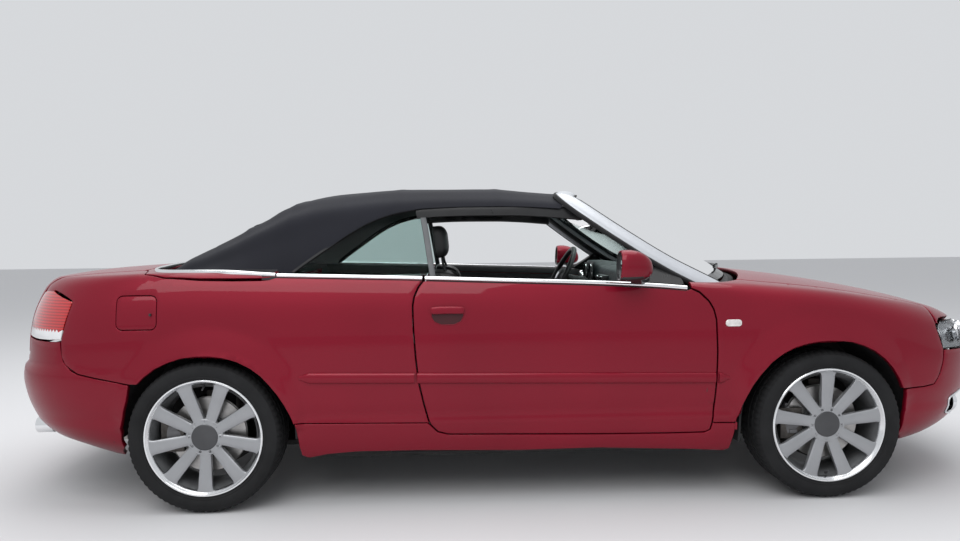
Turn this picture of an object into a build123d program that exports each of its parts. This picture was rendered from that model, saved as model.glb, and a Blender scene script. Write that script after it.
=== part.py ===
from build123d import *
import math
import os

# A two-door soft-top car, in millimetres. +X is forward, +Y is the car's left, +Z is up, the ground is
# Z = 0. Pieces are drawn from the middle of the wheelbase, and put() moves each one so that the origin
# lies on the ground under the middle of the overall length.

# --- overall sizes ---
WHEELBASE = 2654.0
FRONT_OVERHANG = 925.0
REAR_OVERHANG = 993.0
WIDTH = 1777.0
ROOF_HEIGHT = 1391.0
TRACK = 1523.0

# --- walls and gaps ---
SKIN = 26.0
DOOR_THICKNESS = 128.0
SHUT_GAP = 6.0
SEAT_GAP = 0.3
WALL = 22.0
GLASS = 5.0
FABRIC = 22.0

# --- wheels ---
TYRE_RADIUS = 318.0
TYRE_WIDTH = 235.0
RIM_RADIUS = TYRE_RADIUS - 89.4
RIM_WALL = 12.0
SPOKES = 9
DISC_RADIUS = 160.0
DISC_THICKNESS = 25.0
SPINDLE_RADIUS = 30.0
RUNNING_FIT = 0.05
KINGPIN_INSET = 61.0
BALL_HEIGHT = 150.0

# --- places that follow from them ---
HALF = WIDTH / 2
FRONT_AXLE = WHEELBASE / 2
REAR_AXLE = -WHEELBASE / 2
NOSE = FRONT_AXLE + FRONT_OVERHANG
TAIL = REAR_AXLE - REAR_OVERHANG
SHIFT = -(NOSE + TAIL) / 2
HUB_Y = TRACK / 2
HUB_Z = TYRE_RADIUS
KINGPIN_Y = HUB_Y - KINGPIN_INSET

os.makedirs("parts", exist_ok=True)


def fx(offset):
    """A station measured forward from the front axle."""
    return FRONT_AXLE + offset


def rx(offset):
    """A station measured forward from the rear axle."""
    return REAR_AXLE + offset


def put(shape, name):
    """Write one piece, or like pieces that share a node, in the car's own frame."""
    export_step(shape.moved(Location((SHIFT, 0, 0))), f"parts/{name}.step")


def both(shape):
    """A piece of the right-hand side with its twin on the left."""
    return Compound(children=list(shape.solids()) + list(mirror(shape, Plane.XZ).solids()))


def box(x0, x1, y0, y1, z0, z1):
    return Pos((x0 + x1) / 2, (y0 + y1) / 2, (z0 + z1) / 2) * Box(x1 - x0, y1 - y0, z1 - z0)


def side_prism(points, y0, y1):
    """An outline of (x, z) points, carried from y0 to y1."""
    face = Face(Wire(Polyline(*[(x, y0, z) for x, z in points], close=True).edges()))
    return Solid.extrude(face, Vector(0, y1 - y0, 0))


def plan_prism(points, z0, z1):
    """An outline of (x, y) points, carried from z0 to z1."""
    face = Face(Wire(Polyline(*[(x, y, z0) for x, y in points], close=True).edges()))
    return Solid.extrude(face, Vector(0, 0, z1 - z0))


def tube_x(radius, x0, x1, y, z):
    return Pos((x0 + x1) / 2, y, z) * Rot(0, 90, 0) * Cylinder(radius, abs(x1 - x0))


def tube_y(radius, y0, y1, x, z):
    return Pos(x, (y0 + y1) / 2, z) * Rot(90, 0, 0) * Cylinder(radius, abs(y1 - y0))


def tube_z(radius, z0, z1, x, y):
    return Pos(x, y, (z0 + z1) / 2) * Cylinder(radius, abs(z1 - z0))


# --- body envelope ---
# Level outlines: height, how far the tail, the nose and the sides lie inside the widest outline.
LEVELS = [
    (190.0, 330.0, 260.0, 42.0),
    (310.0, 100.0, 55.0, 20.0),
    (420.0, 25.0, 10.0, 6.0),
    (560.0, 0.0, 0.0, 0.0),
    (740.0, 36.0, 70.0, 4.0),
    (880.0, 70.0, 150.0, 16.0),
    (960.0, 105.0, 330.0, 44.0),
    (1060.0, 175.0, 600.0, 105.0),
]
# Crown of the upper surfaces: station, height at the side, height on the centre line.
CROWNS = [
    (TAIL - 60.0, 890.0, 925.0),
    (TAIL + 166.0, 945.0, 986.0),
    (rx(-553.0), 978.0, 1015.0),
    (rx(-233.0), 999.0, 1027.0),
    (rx(411.0), 999.0, 1012.0),
    (fx(-627.0), 927.0, 960.0),
    (fx(-327.0), 905.0, 986.0),
    (fx(3.0), 872.0, 940.0),
    (fx(373.0), 810.0, 882.0),
    (fx(573.0), 762.0, 843.0),
    (NOSE - 202.0, 700.0, 785.0),
    (NOSE + 60.0, 540.0, 585.0),
]


def level_outline(z, tail_in, nose_in, side_in, inset):
    """Closed outline of the body at one height: bowed ends, round corners, straight flanks."""
    tail = TAIL + tail_in + inset
    nose = NOSE - nose_in - inset
    half = HALF - side_in - inset
    side = [
        (nose - 169.0, -(half - 248.0)),
        (nose - 266.0, -(half - 124.0)),
        (nose - 452.0, -(half - 38.0)),
        (FRONT_AXLE, -half),
        (REAR_AXLE, -half),
        (tail + 460.0, -(half - 14.0)),
        (tail + 285.0, -(half - 108.0)),
        (tail + 165.0, -(half - 268.0)),
    ]
    right = [(x, y, z) for x, y in side]
    left = [(x, -y, z) for x, y in side]
    edges = [
        ThreePointArc(left[0], (nose, 0, z), right[0]),
        ThreePointArc(right[0], right[1], right[2]),
        Line(right[2], right[3]),
        Line(right[3], right[4]),
        Line(right[4], right[5]),
        ThreePointArc(right[5], right[6], right[7]),
        ThreePointArc(right[7], (tail, 0, z), left[7]),
        ThreePointArc(left[7], left[6], left[5]),
        Line(left[5], left[4]),
        Line(left[4], left[3]),
        Line(left[3], left[2]),
        ThreePointArc(left[2], left[1], left[0]),
    ]
    return Face(Wire([edge.edge() for edge in edges]))


def crown_section(x, z_side, z_mid, inset):
    """Section under the bonnet and deck: a box with a crowned top."""
    reach = HALF + 30.0
    low = LEVELS[0][0] - 50.0
    top = ThreePointArc((x, -reach, z_side - inset), (x, 0, z_mid - inset), (x, reach, z_side - inset))
    edges = [
        Line((x, -reach, low), (x, -reach, z_side - inset)),
        top,
        Line((x, reach, z_side - inset), (x, reach, low)),
        Line((x, reach, low), (x, -reach, low)),
    ]
    return Face(Wire([edge.edge() for edge in edges]))


def envelope(inset):
    """The body's outer form, or the form that lies a wall's thickness inside it."""
    flanks = loft([level_outline(*level, inset) for level in LEVELS], ruled=True)
    under_top = loft([crown_section(*crown, inset) for crown in CROWNS], ruled=True)
    return flanks & under_top


OUTER = envelope(0.0)
SHELL = OUTER - envelope(SKIN)
INNER = envelope(SKIN + SEAT_GAP)
REACH = HALF + 100.0

# --- shut lines ---
DOOR_FRONT = fx(-485.0)
DOOR_REAR = rx(877.0)
DOOR_BOTTOM = 302.0
BELT_FRONT = 927.0
SILL_TOP = DOOR_BOTTOM - SHUT_GAP
DOOR_NOSE = 45.0
DOOR_HINGE_X = DOOR_FRONT - DOOR_NOSE
DOOR_HINGE_Y = HALF - 24.5
DOOR_HINGE_LEVELS = (490.0, 710.0)
HINGE_PIN = 6.0
HINGE_EYE = 11.0
UPPER_GAP = SHUT_GAP + 8.0
CORNER_Z = BELT_FRONT - 150.0
DOOR_INNER = HALF - DOOR_THICKNESS
ARCH_RADIUS = TYRE_RADIUS + 56.0
BONNET_REAR = fx(-347.0)
BONNET_HALF = HALF - 190.0
BONNET_HINGE = (BONNET_REAR - 30.0, 895.0)
BONNET_NOSE = NOSE - 112.0
LID_FRONT = rx(-315.0)
LID_HALF = HALF - 288.0
LID_BOTTOM = 648.0
LID_HINGE = (LID_FRONT - 60.0, 1004.0)
LID_EAR_Y = HALF - 437.0
LID_PIN = 4.0
FLAP = (rx(-348.0), rx(-179.0), 774.0, 917.0)
FLAP_THICKNESS = 12.0
FLAP_HINGE = (FLAP[1] - 25.0, HALF - 20.0)
FLAP_PIN = 2.5
FLAP_LEVEL = 838.0


def door_outline(grow):
    """Side view of a door, or of its opening when it grows by the shut gap."""
    return [
        (DOOR_FRONT - 105.0 + grow, 1080.0),
        (DOOR_FRONT - 105.0 + grow, BELT_FRONT - 10.0),
        (DOOR_FRONT - 16.0 + grow, BELT_FRONT - 100.0),
        (DOOR_FRONT + grow, BELT_FRONT - 150.0),
        (DOOR_FRONT + grow, 480.0),
        (DOOR_FRONT - 22.0 + grow, DOOR_BOTTOM + 12.0),
        (DOOR_FRONT - 45.0 + grow, DOOR_BOTTOM - grow),
        (DOOR_REAR + 125.0 - grow, DOOR_BOTTOM - grow),
        (DOOR_REAR + 56.0 - grow, 381.0),
        (DOOR_REAR + 20.0 - grow, 540.0),
        (DOOR_REAR - grow, 760.0),
        (DOOR_REAR - grow, 860.0),
        (DOOR_REAR + 53.0 - grow, 985.0),
        (DOOR_REAR + 53.0 - grow, 1080.0),
    ]


# --- doors ---
DOOR_CHAMFER = 60.0
STRAP_HALF = 15.0


def door():
    """The right-hand door: whole thickness, front inner corner cut back to swing past its pillar."""
    blank = side_prism(door_outline(0.0), -REACH, -DOOR_INNER) & OUTER
    corner = plan_prism(
        [
            (DOOR_FRONT + 1.0, -DOOR_INNER - DOOR_CHAMFER),
            (DOOR_FRONT - 42.0, -DOOR_INNER + 1.0),
            (DOOR_FRONT + 20.0, -DOOR_INNER + 1.0),
        ],
        0.0,
        1200.0,
    )
    latch = plan_prism(
        [
            (DOOR_REAR - 1.0, -DOOR_INNER - DOOR_CHAMFER),
            (DOOR_REAR + 16.0, -DOOR_INNER + 1.0),
            (DOOR_REAR - 20.0, -DOOR_INNER + 1.0),
        ],
        DOOR_BOTTOM + 200.0,
        1200.0,
    )
    slot_y = -DOOR_INNER - 52.0
    window_slot = box(DOOR_REAR + 70.0, DOOR_FRONT - 150.0, slot_y - 5.0, slot_y + 5.0, 700.0, 1100.0)
    nose = box(DOOR_HINGE_X, DOOR_FRONT + 1.0, -REACH, -DOOR_HINGE_Y, 0.0, CORNER_Z)
    nose = nose - tube_z(DOOR_NOSE, 0.0, CORNER_Z, DOOR_HINGE_X, -DOOR_HINGE_Y)
    whole = blank - corner - latch - window_slot - nose
    for level in DOOR_HINGE_LEVELS:
        whole = whole - box(
            DOOR_HINGE_X - HINGE_EYE - 4.0,
            DOOR_FRONT + 1.0,
            -DOOR_HINGE_Y - HINGE_EYE - 4.0,
            -DOOR_INNER + 1.0,
            level - STRAP_HALF - 5.0,
            level + STRAP_HALF + 5.0,
        )
        pin_half = STRAP_HALF + 6.0
        whole = whole + tube_z(HINGE_PIN, level - pin_half, level + pin_half, DOOR_HINGE_X, -DOOR_HINGE_Y)
    return whole


put(door(), "door_right")
put(mirror(door(), Plane.XZ), "door_left")

# --- mirrors on the doors ---
MIRROR_X = (fx(-924.0), fx(-788.0))
MIRROR_OUT = HALF + 111.5
MIRROR_Z = (958.0, 1082.0)


def door_mirror():
    """Housing with a recessed glass, on an arm that stands on the belt of the door."""
    x0, x1 = MIRROR_X
    z0, z1 = MIRROR_Z
    outline = [
        (x0, z0 + 18.0),
        (x0, z1 - 10.0),
        (x0 + 40.0, z1),
        (x1 - 30.0, z1 - 12.0),
        (x1, z0 + 45.0),
        (x1 - 30.0, z0 + 8.0),
        (x0 + 30.0, z0),
    ]
    housing = side_prism(outline, -MIRROR_OUT, -HALF - 4.0)
    recess = box(x0 - 1.0, x0 + 8.0, -MIRROR_OUT + 12.0, -HALF - 16.0, z0 + 24.0, z1 - 18.0)
    arm_top = (z0 + z1) / 2 - 12.0
    foot = 944.0
    arm = box(x0 + 50.0, x1 - 30.0, -HALF - 10.0, -HALF + 62.0, z0 + 10.0, arm_top)
    stem = box(x0 + 50.0, x1 - 30.0, -HALF + 42.0, -HALF + 62.0, foot, arm_top)
    return (housing - recess + arm + stem) - OUTER


put(door_mirror(), "mirror_right")
put(mirror(door_mirror(), Plane.XZ), "mirror_left")

# --- bonnet ---
PLAN_BOW = 170.0


def bonnet_plan(grow):
    """Plan of the bonnet: bowed rear edge, sides that close in a little towards the nose."""
    rear = BONNET_REAR - grow
    half = BONNET_HALF + grow
    front = NOSE + 50.0
    edges = [
        ThreePointArc((rear, half, 0), (rear + PLAN_BOW, 0, 0), (rear, -half, 0)),
        Line((rear, -half, 0), (front, -half + 90.0, 0)),
        Line((front, -half + 90.0, 0), (front, half - 90.0, 0)),
        Line((front, half - 90.0, 0), (rear, half, 0)),
    ]
    face = Face(Wire([edge.edge() for edge in edges]))
    return Solid.extrude(face, Vector(0, 0, 1200))


def bonnet_side(grow):
    """Side limit of the bonnet: the front edge leans so that it lifts clear of the bumper."""
    nose = BONNET_NOSE + grow
    return side_prism(
        [
            (BONNET_REAR - 60.0, 600.0),
            (nose - 70.0, 600.0),
            (nose, 900.0),
            (nose, 1150.0),
            (BONNET_REAR - 60.0, 1150.0),
        ],
        -REACH,
        REACH,
    )


BONNET_HOLE = bonnet_plan(SHUT_GAP) & bonnet_side(SHUT_GAP)
hinge_x, hinge_z = BONNET_HINGE
BONNET_LUG = (640.0, 652.0)
lug_in, lug_out = BONNET_LUG
lug_side = [
    (hinge_x - 10.0, hinge_z - 9.0),
    (hinge_x - 10.0, hinge_z + 10.0),
    (hinge_x + 35.0, hinge_z + 30.0),
    (hinge_x + 110.0, hinge_z + 60.0),
    (hinge_x + 110.0, hinge_z + 28.0),
    (hinge_x + 50.0, hinge_z + 6.0),
    (hinge_x + 6.0, hinge_z - 10.0),
]
lug = side_prism(lug_side, -lug_out, -lug_in) & envelope(8.0)
lug = lug + tube_y(HINGE_PIN, -lug_out - 15.0, -lug_out + 1.0, hinge_x, hinge_z)
bonnet = (SHELL & bonnet_plan(0.0) & bonnet_side(0.0)) + lug + mirror(lug, Plane.XZ)
put(bonnet, "bonnet")

# --- headlamps and tail lamps ---
LAMP_SIDE = [
    (NOSE - 437.0, 712.0),
    (NOSE - 380.0, 775.0),
    (NOSE - 60.0, 775.0),
    (NOSE + 30.0, 690.0),
    (NOSE + 30.0, 588.0),
    (NOSE - 210.0, 600.0),
    (NOSE - 382.0, 622.0),
]
LAMP_INNER = HALF - 440.0
headlamp_zone = side_prism(LAMP_SIDE, -REACH, -LAMP_INNER)
headlamp = (SHELL & headlamp_zone) - BONNET_HOLE
HEADLAMP_ROOM = both(headlamp_zone)
put(both(max(headlamp.solids(), key=lambda s: s.volume)), "headlamps")

TAIL_LAMP_SIDE = [
    (TAIL + 322.0, 938.0),
    (TAIL + 443.0, 893.0),
    (TAIL + 392.0, 727.0),
    (TAIL - 30.0, 735.0),
    (TAIL - 30.0, 938.0),
]
tail_lamp_zone = side_prism(TAIL_LAMP_SIDE, -REACH, -LID_HALF - SHUT_GAP)
TAIL_LAMP_ROOM = both(tail_lamp_zone)
put(both(SHELL & tail_lamp_zone), "tail_lamps")

# --- boot lid ---
lid_region = side_prism(
    [
        (LID_FRONT, 1150.0),
        (LID_FRONT, 900.0),
        (TAIL + 300.0, 900.0),
        (TAIL + 300.0, LID_BOTTOM),
        (TAIL - 50.0, LID_BOTTOM),
        (TAIL - 50.0, 1150.0),
    ],
    -LID_HALF,
    LID_HALF,
)
lid_room = side_prism(
    [
        (LID_FRONT + SHUT_GAP + 2.0, 1150.0),
        (LID_FRONT + SHUT_GAP + 2.0, 900.0),
        (TAIL + 300.0, 900.0),
        (TAIL + 300.0, LID_BOTTOM - SHUT_GAP),
        (TAIL - 50.0, LID_BOTTOM - SHUT_GAP),
        (TAIL - 50.0, 1150.0),
    ],
    -LID_HALF - SHUT_GAP,
    LID_HALF + SHUT_GAP,
)
PLATE_HALF = 270.0
plate_recess = box(TAIL - 20.0, TAIL + 60.0, -PLATE_HALF, PLATE_HALF, 700.0, 830.0)
plate_recess = plate_recess & envelope(-1.0) - envelope(10.0)
lid = (SHELL & lid_region) - plate_recess
lid_x, lid_z = LID_HINGE
lid_notch = box(lid_x - 15.0, LID_FRONT + 1.0, -LID_EAR_Y - 10.0, -LID_EAR_Y + 10.0, 900.0, lid_z + 11.5)
lid_pin = tube_y(LID_PIN, -LID_EAR_Y - 12.0, -LID_EAR_Y + 12.0, lid_x, lid_z)
lid = lid - both(lid_notch) + lid_pin + mirror(lid_pin, Plane.XZ)
put(lid, "boot_lid")

# --- bumpers ---
BUMPER_FRONT_SIDE = [
    (FRONT_AXLE + 200.0, 100.0),
    (FRONT_AXLE + 342.0, 462.0),
    (NOSE - 436.0, 475.0),
    (NOSE - 400.0, 520.0),
    (NOSE - 382.0, 622.0 - SHUT_GAP),
    (NOSE - 382.0, 640.0),
    (NOSE - 80.0, 900.0),
    (NOSE + 50.0, 900.0),
    (NOSE + 50.0, 100.0),
]
GRILLE = (330.0, 250.0, 640.0)
PLATE_HALF = 260.0
FRONT_PLATE = (500.0, 612.0)
TOW_RADIUS = 9.0
TOW_DEPTH = 60.0
TOW_Y = -520.0
TOW_Z = 470.0


def arch(axle, y0, y1, radius):
    """Room for a wheel: round over the axle, open to the ground."""
    half = tube_y(radius, y0, y1, axle, HUB_Z)
    return half + box(axle - radius, axle + radius, y0, y1, 0.0, HUB_Z)


WHEEL_ROOM = Compound(
    children=[
        piece
        for axle in (FRONT_AXLE, REAR_AXLE)
        for piece in both(arch(axle, -REACH, -HALF + 460.0, ARCH_RADIUS)).solids()
    ]
)
grille_half, grille_low, grille_high = GRILLE
grille_hole = box(NOSE - 300.0, NOSE + 50.0, -grille_half, grille_half, grille_low, grille_high)


def tow_boss(x_out, x_in):
    """A tube behind the bumper face, bored for the towing eye."""
    boss = tube_x(TOW_RADIUS + 9.0, x_out, x_in, TOW_Y, TOW_Z)
    return boss, tube_x(TOW_RADIUS, x_out, x_in, TOW_Y, TOW_Z)


FRONT_TOW_X = NOSE - 116.0
boss, bore = tow_boss(FRONT_TOW_X, FRONT_TOW_X - TOW_DEPTH)
front_skin = SHELL & side_prism(BUMPER_FRONT_SIDE, -REACH, REACH)
front_skin = front_skin - BONNET_HOLE - HEADLAMP_ROOM - WHEEL_ROOM - grille_hole
front_skin = max(front_skin.solids(), key=lambda s: s.volume)
passage = tube_x(TOW_RADIUS + 9.0, FRONT_TOW_X - TOW_DEPTH, NOSE, TOW_Y, TOW_Z)
put((front_skin - passage) + (boss - bore), "front_bumper")

slat_half = grille_half - SEAT_GAP
grille_block = box(NOSE - 300.0, NOSE, -slat_half, slat_half, grille_low + SEAT_GAP, grille_high - SEAT_GAP)
grille = (envelope(8.0) - envelope(20.0)) & grille_block
plate_low, plate_high = FRONT_PLATE
front_plate = box(NOSE - 100.0, NOSE, -PLATE_HALF, PLATE_HALF, plate_low, plate_high) - envelope(14.0)
grille = grille + max(front_plate.solids(), key=lambda s: s.center().X)
put(grille, "grille")

BUMPER_REAR_SIDE = [
    (REAR_AXLE - 150.0, 100.0),
    (rx(-276.0), 543.0),
    (rx(-450.0), 577.0),
    (rx(-570.0), 612.0),
    (TAIL + 380.0, LID_BOTTOM - SHUT_GAP),
    (TAIL - 50.0, LID_BOTTOM - SHUT_GAP),
    (TAIL - 50.0, 100.0),
]
REAR_TOW_X = TAIL + 110.0
TAILPIPE = (-550.0, 320.0, 33.0)
boss, bore = tow_boss(REAR_TOW_X + TOW_DEPTH, REAR_TOW_X)
pipe_y, pipe_z, pipe_radius = TAILPIPE
pipe_room = box(TAIL - 20.0, TAIL + 430.0, pipe_y - 130.0, pipe_y + 60.0, 150.0, pipe_z + pipe_radius + 14.0)
rear_skin = SHELL & side_prism(BUMPER_REAR_SIDE, -REACH, REACH)
rear_skin = rear_skin - WHEEL_ROOM - both(pipe_room)
rear_skin = max(rear_skin.solids(), key=lambda s: s.volume)
passage = tube_x(TOW_RADIUS + 9.0, TAIL, REAR_TOW_X + TOW_DEPTH, TOW_Y, TOW_Z)
put((rear_skin - passage) + (boss - bore), "rear_bumper")

# --- wings, quarters and the tonneau cover ---
wing_side = [
    (DOOR_FRONT - 105.0 + UPPER_GAP, 1100.0),
    (DOOR_FRONT - 105.0 + UPPER_GAP, BELT_FRONT - 10.0),
    (DOOR_FRONT - 16.0 + UPPER_GAP, BELT_FRONT - 100.0),
    (DOOR_FRONT + SHUT_GAP, CORNER_Z),
    (DOOR_FRONT - 12.0, CORNER_Z - 0.5),
    (DOOR_FRONT - 12.0, 480.0),
    (DOOR_FRONT - 22.0 + UPPER_GAP, SILL_TOP + SEAT_GAP),
    (FRONT_AXLE, SILL_TOP + SEAT_GAP),
    (FRONT_AXLE + 342.0 - SEAT_GAP, 462.0 + SEAT_GAP),
    (NOSE - 436.0, 475.0 + SEAT_GAP),
    (NOSE - 400.0 - SEAT_GAP, 520.0),
    (NOSE - 382.0 - SEAT_GAP, 622.0),
    (NOSE - 437.0 - SEAT_GAP, 712.0),
    (NOSE - 380.0, 775.0 + SEAT_GAP),
    (NOSE - 100.0, 775.0 + SEAT_GAP),
    (NOSE - 100.0, 1100.0),
]
WING_INNER = BONNET_HALF - 60.0
COWL_GAP = 13.0
COWL_HALF = HALF - 140.0
cowl_corner = box(DOOR_FRONT - 200.0, BONNET_REAR - COWL_GAP, -COWL_HALF - SEAT_GAP, 0.0, 800.0, 1100.0)
nose_room = tube_z(DOOR_NOSE + SHUT_GAP, SILL_TOP, CORNER_Z, DOOR_HINGE_X, -DOOR_HINGE_Y)
nose_room = nose_room + box(DOOR_FRONT - 60.0, DOOR_FRONT + SHUT_GAP, -DOOR_HINGE_Y, 0.0, SILL_TOP, CORNER_Z)
wing = (SHELL & side_prism(wing_side, -REACH, -WING_INNER)) - BONNET_HOLE - WHEEL_ROOM
lug_room = box(hinge_x - 20.0, hinge_x + 160.0, -lug_out - 6.0, 0.0, 800.0, 1100.0)
swing_room = box(BONNET_REAR - 20.0, BONNET_REAR + 35.0, -BONNET_HALF - SHUT_GAP, 0.0, 850.0, 1100.0)
wing = wing - cowl_corner - nose_room - lug_room - swing_room
put(both(max(wing.solids(), key=lambda s: s.volume)), "front_wings")

TONNEAU_EDGE = HALF - 46.0
LID_GAP = SHUT_GAP + 3.0
TONNEAU_SIDE = [
    (LID_FRONT + LID_GAP, 1100.0),
    (LID_FRONT + LID_GAP, 1028.0),
    (LID_FRONT + LID_GAP + 8.0, 1015.0),
    (LID_FRONT + LID_GAP + 8.0, 960.0),
    (rx(-160.0), 960.0),
    (rx(305.0), 974.0),
    (rx(305.0), 1100.0),
]
TOP_BASE_HALF = 742.0
TOP_BASE_REAR = rx(-235.0)
TOP_BASE_CORNER = rx(-90.0)


def top_base_plan(grow, z0, z1):
    """Plan of the room that the soft top's foot fills in the tonneau cover."""
    half = TOP_BASE_HALF + grow
    rear = TOP_BASE_REAR - grow
    corner = TOP_BASE_CORNER - grow
    front = fx(-600.0)
    edges = [
        ThreePointArc((corner, -half + 40.0, z0), (rear, 0, z0), (corner, half - 40.0, z0)),
        Line((corner, half - 40.0, z0), (corner + 60.0, half, z0)),
        Line((corner + 60.0, half, z0), (front, half, z0)),
        Line((front, half, z0), (front, -half, z0)),
        Line((front, -half, z0), (corner + 60.0, -half, z0)),
        Line((corner + 60.0, -half, z0), (corner, -half + 40.0, z0)),
    ]
    return Solid.extrude(Face(Wire([edge.edge() for edge in edges])), Vector(0, 0, z1 - z0))


tonneau_zone = side_prism(TONNEAU_SIDE, -TONNEAU_EDGE, TONNEAU_EDGE)
tonneau = (SHELL & tonneau_zone) - top_base_plan(SEAT_GAP, 800.0, 1200.0)
put(tonneau, "tonneau_cover")

quarter_side = [
    (DOOR_REAR + 53.0 - SHUT_GAP, 1100.0),
    (DOOR_REAR + 53.0 - SHUT_GAP, 985.0),
    (DOOR_REAR - SHUT_GAP, 860.0),
    (DOOR_REAR - SHUT_GAP, 760.0),
    (DOOR_REAR + 20.0 - SHUT_GAP, 540.0),
    (DOOR_REAR + 56.0 - SHUT_GAP, 381.0),
    (DOOR_REAR + 100.0 - SHUT_GAP, SILL_TOP + SEAT_GAP),
    (REAR_AXLE + 100.0, SILL_TOP + SEAT_GAP),
    (REAR_AXLE - 150.0, 100.0),
    (rx(-276.0), 543.0 + SEAT_GAP),
    (rx(-450.0), 577.0 + SEAT_GAP),
    (rx(-570.0), 612.0 + SEAT_GAP),
    (TAIL + 380.0, LID_BOTTOM - SHUT_GAP + SEAT_GAP),
    (TAIL - 50.0, LID_BOTTOM - SHUT_GAP + SEAT_GAP),
    (TAIL - 50.0, 1100.0),
]
tonneau_room = side_prism(
    [
        (LID_FRONT - 3.0, 1100.0),
        (LID_FRONT - 3.0, 960.0 - SEAT_GAP),
        (rx(-160.0), 960.0 - SEAT_GAP),
        (rx(305.0) + SEAT_GAP, 974.0 - SEAT_GAP),
        (rx(305.0) + SEAT_GAP, 1100.0),
    ],
    -TONNEAU_EDGE - SEAT_GAP,
    TONNEAU_EDGE + SEAT_GAP,
)
QUARTER_INNER = DOOR_INNER - 2.0
side_band = side_prism(quarter_side, -REACH, -QUARTER_INNER)
rear_band = side_prism(quarter_side, -REACH, -LID_HALF) & box(TAIL - 60.0, LID_FRONT, -REACH, REACH, 0.0, 1200.0)
flap_x0, flap_x1, flap_z0, flap_z1 = FLAP
flap_cut = box(flap_x0, flap_x1, -REACH, -HALF + 120.0, flap_z0, flap_z1)
flap_gap = SHUT_GAP + 1.0
flap_hole = box(flap_x0 - flap_gap, flap_x1 + flap_gap, -REACH, -HALF + 120.0, flap_z0 - flap_gap, flap_z1 + flap_gap)
quarter = (SHELL & (side_band + rear_band)) - tonneau_room - lid_room - TAIL_LAMP_ROOM - WHEEL_ROOM
quarter = max(quarter.solids(), key=lambda s: s.volume)
quarters = Compound(children=[quarter - flap_hole, mirror(quarter, Plane.XZ)])
put(quarters, "rear_quarters")
flap = (OUTER - envelope(FLAP_THICKNESS)) & flap_cut
flap = max(flap.solids(), key=lambda s: s.volume)
pin_x, pin_y = FLAP_HINGE
flap_notch = box(pin_x - 8.0, flap_x1 + 1.0, -pin_y - 3.5, -HALF + 60.0, FLAP_LEVEL - 9.0, FLAP_LEVEL + 9.0)
flap_pin = tube_z(FLAP_PIN, FLAP_LEVEL - 10.0, FLAP_LEVEL + 10.0, pin_x, -pin_y)
put((flap - flap_notch) + flap_pin, "fuel_flap")

bowl_y0 = -HALF + SKIN + 8.0
bowl_y1 = bowl_y0 + 70.0
bowl = box(flap_x0 - 12.0, flap_x1 + 12.0, bowl_y0, bowl_y1, flap_z0 - 12.0, flap_z1 + 12.0)
bowl_room = box(flap_x0 - 6.0, flap_x1 + 6.0, bowl_y0 - 1.0, bowl_y1 - 10.0, flap_z0 - 6.0, flap_z1 + 6.0)
flap_mid = ((flap_x0 + flap_x1) / 2, (flap_z0 + flap_z1) / 2)
cap = tube_y(42.0, bowl_y0 + 15.0, bowl_y1 - 9.0, *flap_mid)
flap_ear = box(pin_x - 4.5, pin_x + 4.5, -pin_y, bowl_y1 - 9.0, FLAP_LEVEL - 5.0, FLAP_LEVEL + 5.0)
flap_ear = flap_ear + tube_z(4.5, FLAP_LEVEL - 5.0, FLAP_LEVEL + 5.0, pin_x, -pin_y)
ear_bore = tube_z(FLAP_PIN + RUNNING_FIT, FLAP_LEVEL - 6.0, FLAP_LEVEL + 6.0, pin_x, -pin_y)
put(((bowl & INNER) - bowl_room) + cap + flap_ear - ear_bore, "fuel_filler")

# --- floor, sills and inner structure ---
FLOOR_Z = 178.0
FLOOR_TOP = FLOOR_Z + WALL
CABIN_HALF = DOOR_INNER - 16.0
FIREWALL_X = FRONT_AXLE - 462.0
FIREWALL_TOP = 880.0
BULKHEAD_X = REAR_AXLE + 232.0
TUNNEL = (115.0, 330.0)
BOOT_FLOOR = 330.0
RAIL_Y = HALF - 448.0
rail_outer = -RAIL_Y - WALL - SEAT_GAP
sill_ends = (ARCH_RADIUS + 12.0, ARCH_RADIUS + 26.0)
SILL_REAR = REAR_AXLE + sill_ends[0]
SILL_FRONT = FRONT_AXLE - sill_ends[1]
tunnel_half, tunnel_top = TUNNEL
floor_front = FIREWALL_X - SEAT_GAP
floor_rear = BULKHEAD_X + SEAT_GAP
floor = box(floor_rear, floor_front, -CABIN_HALF + 60.0, CABIN_HALF - 60.0, FLOOR_Z, FLOOR_TOP)
tunnel = box(floor_rear, floor_front, -tunnel_half, tunnel_half, FLOOR_Z, tunnel_top)
tunnel_room = box(floor_rear - 1.0, floor_front + 1.0, -tunnel_half + 12.0, tunnel_half - 12.0, 100.0, tunnel_top - 12.0)
arch_cut = both(arch(REAR_AXLE, -REACH, rail_outer, ARCH_RADIUS + 12.0))
put((floor + tunnel) - tunnel_room - arch_cut, "floor_pan")

SILL_OUT = HALF - 12.0
SILL_LOW = 208.0
sill = box(SILL_REAR, SILL_FRONT, -SILL_OUT, -CABIN_HALF + 60.0 + SEAT_GAP, SILL_LOW, SILL_TOP - SEAT_GAP) & OUTER
sill_rise = box(DOOR_REAR - 15.0, FIREWALL_X - 40.0, -CABIN_HALF, -CABIN_HALF + 60.0 - SEAT_GAP, SILL_LOW, 372.0)
put(both(sill + sill_rise), "sills")

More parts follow.
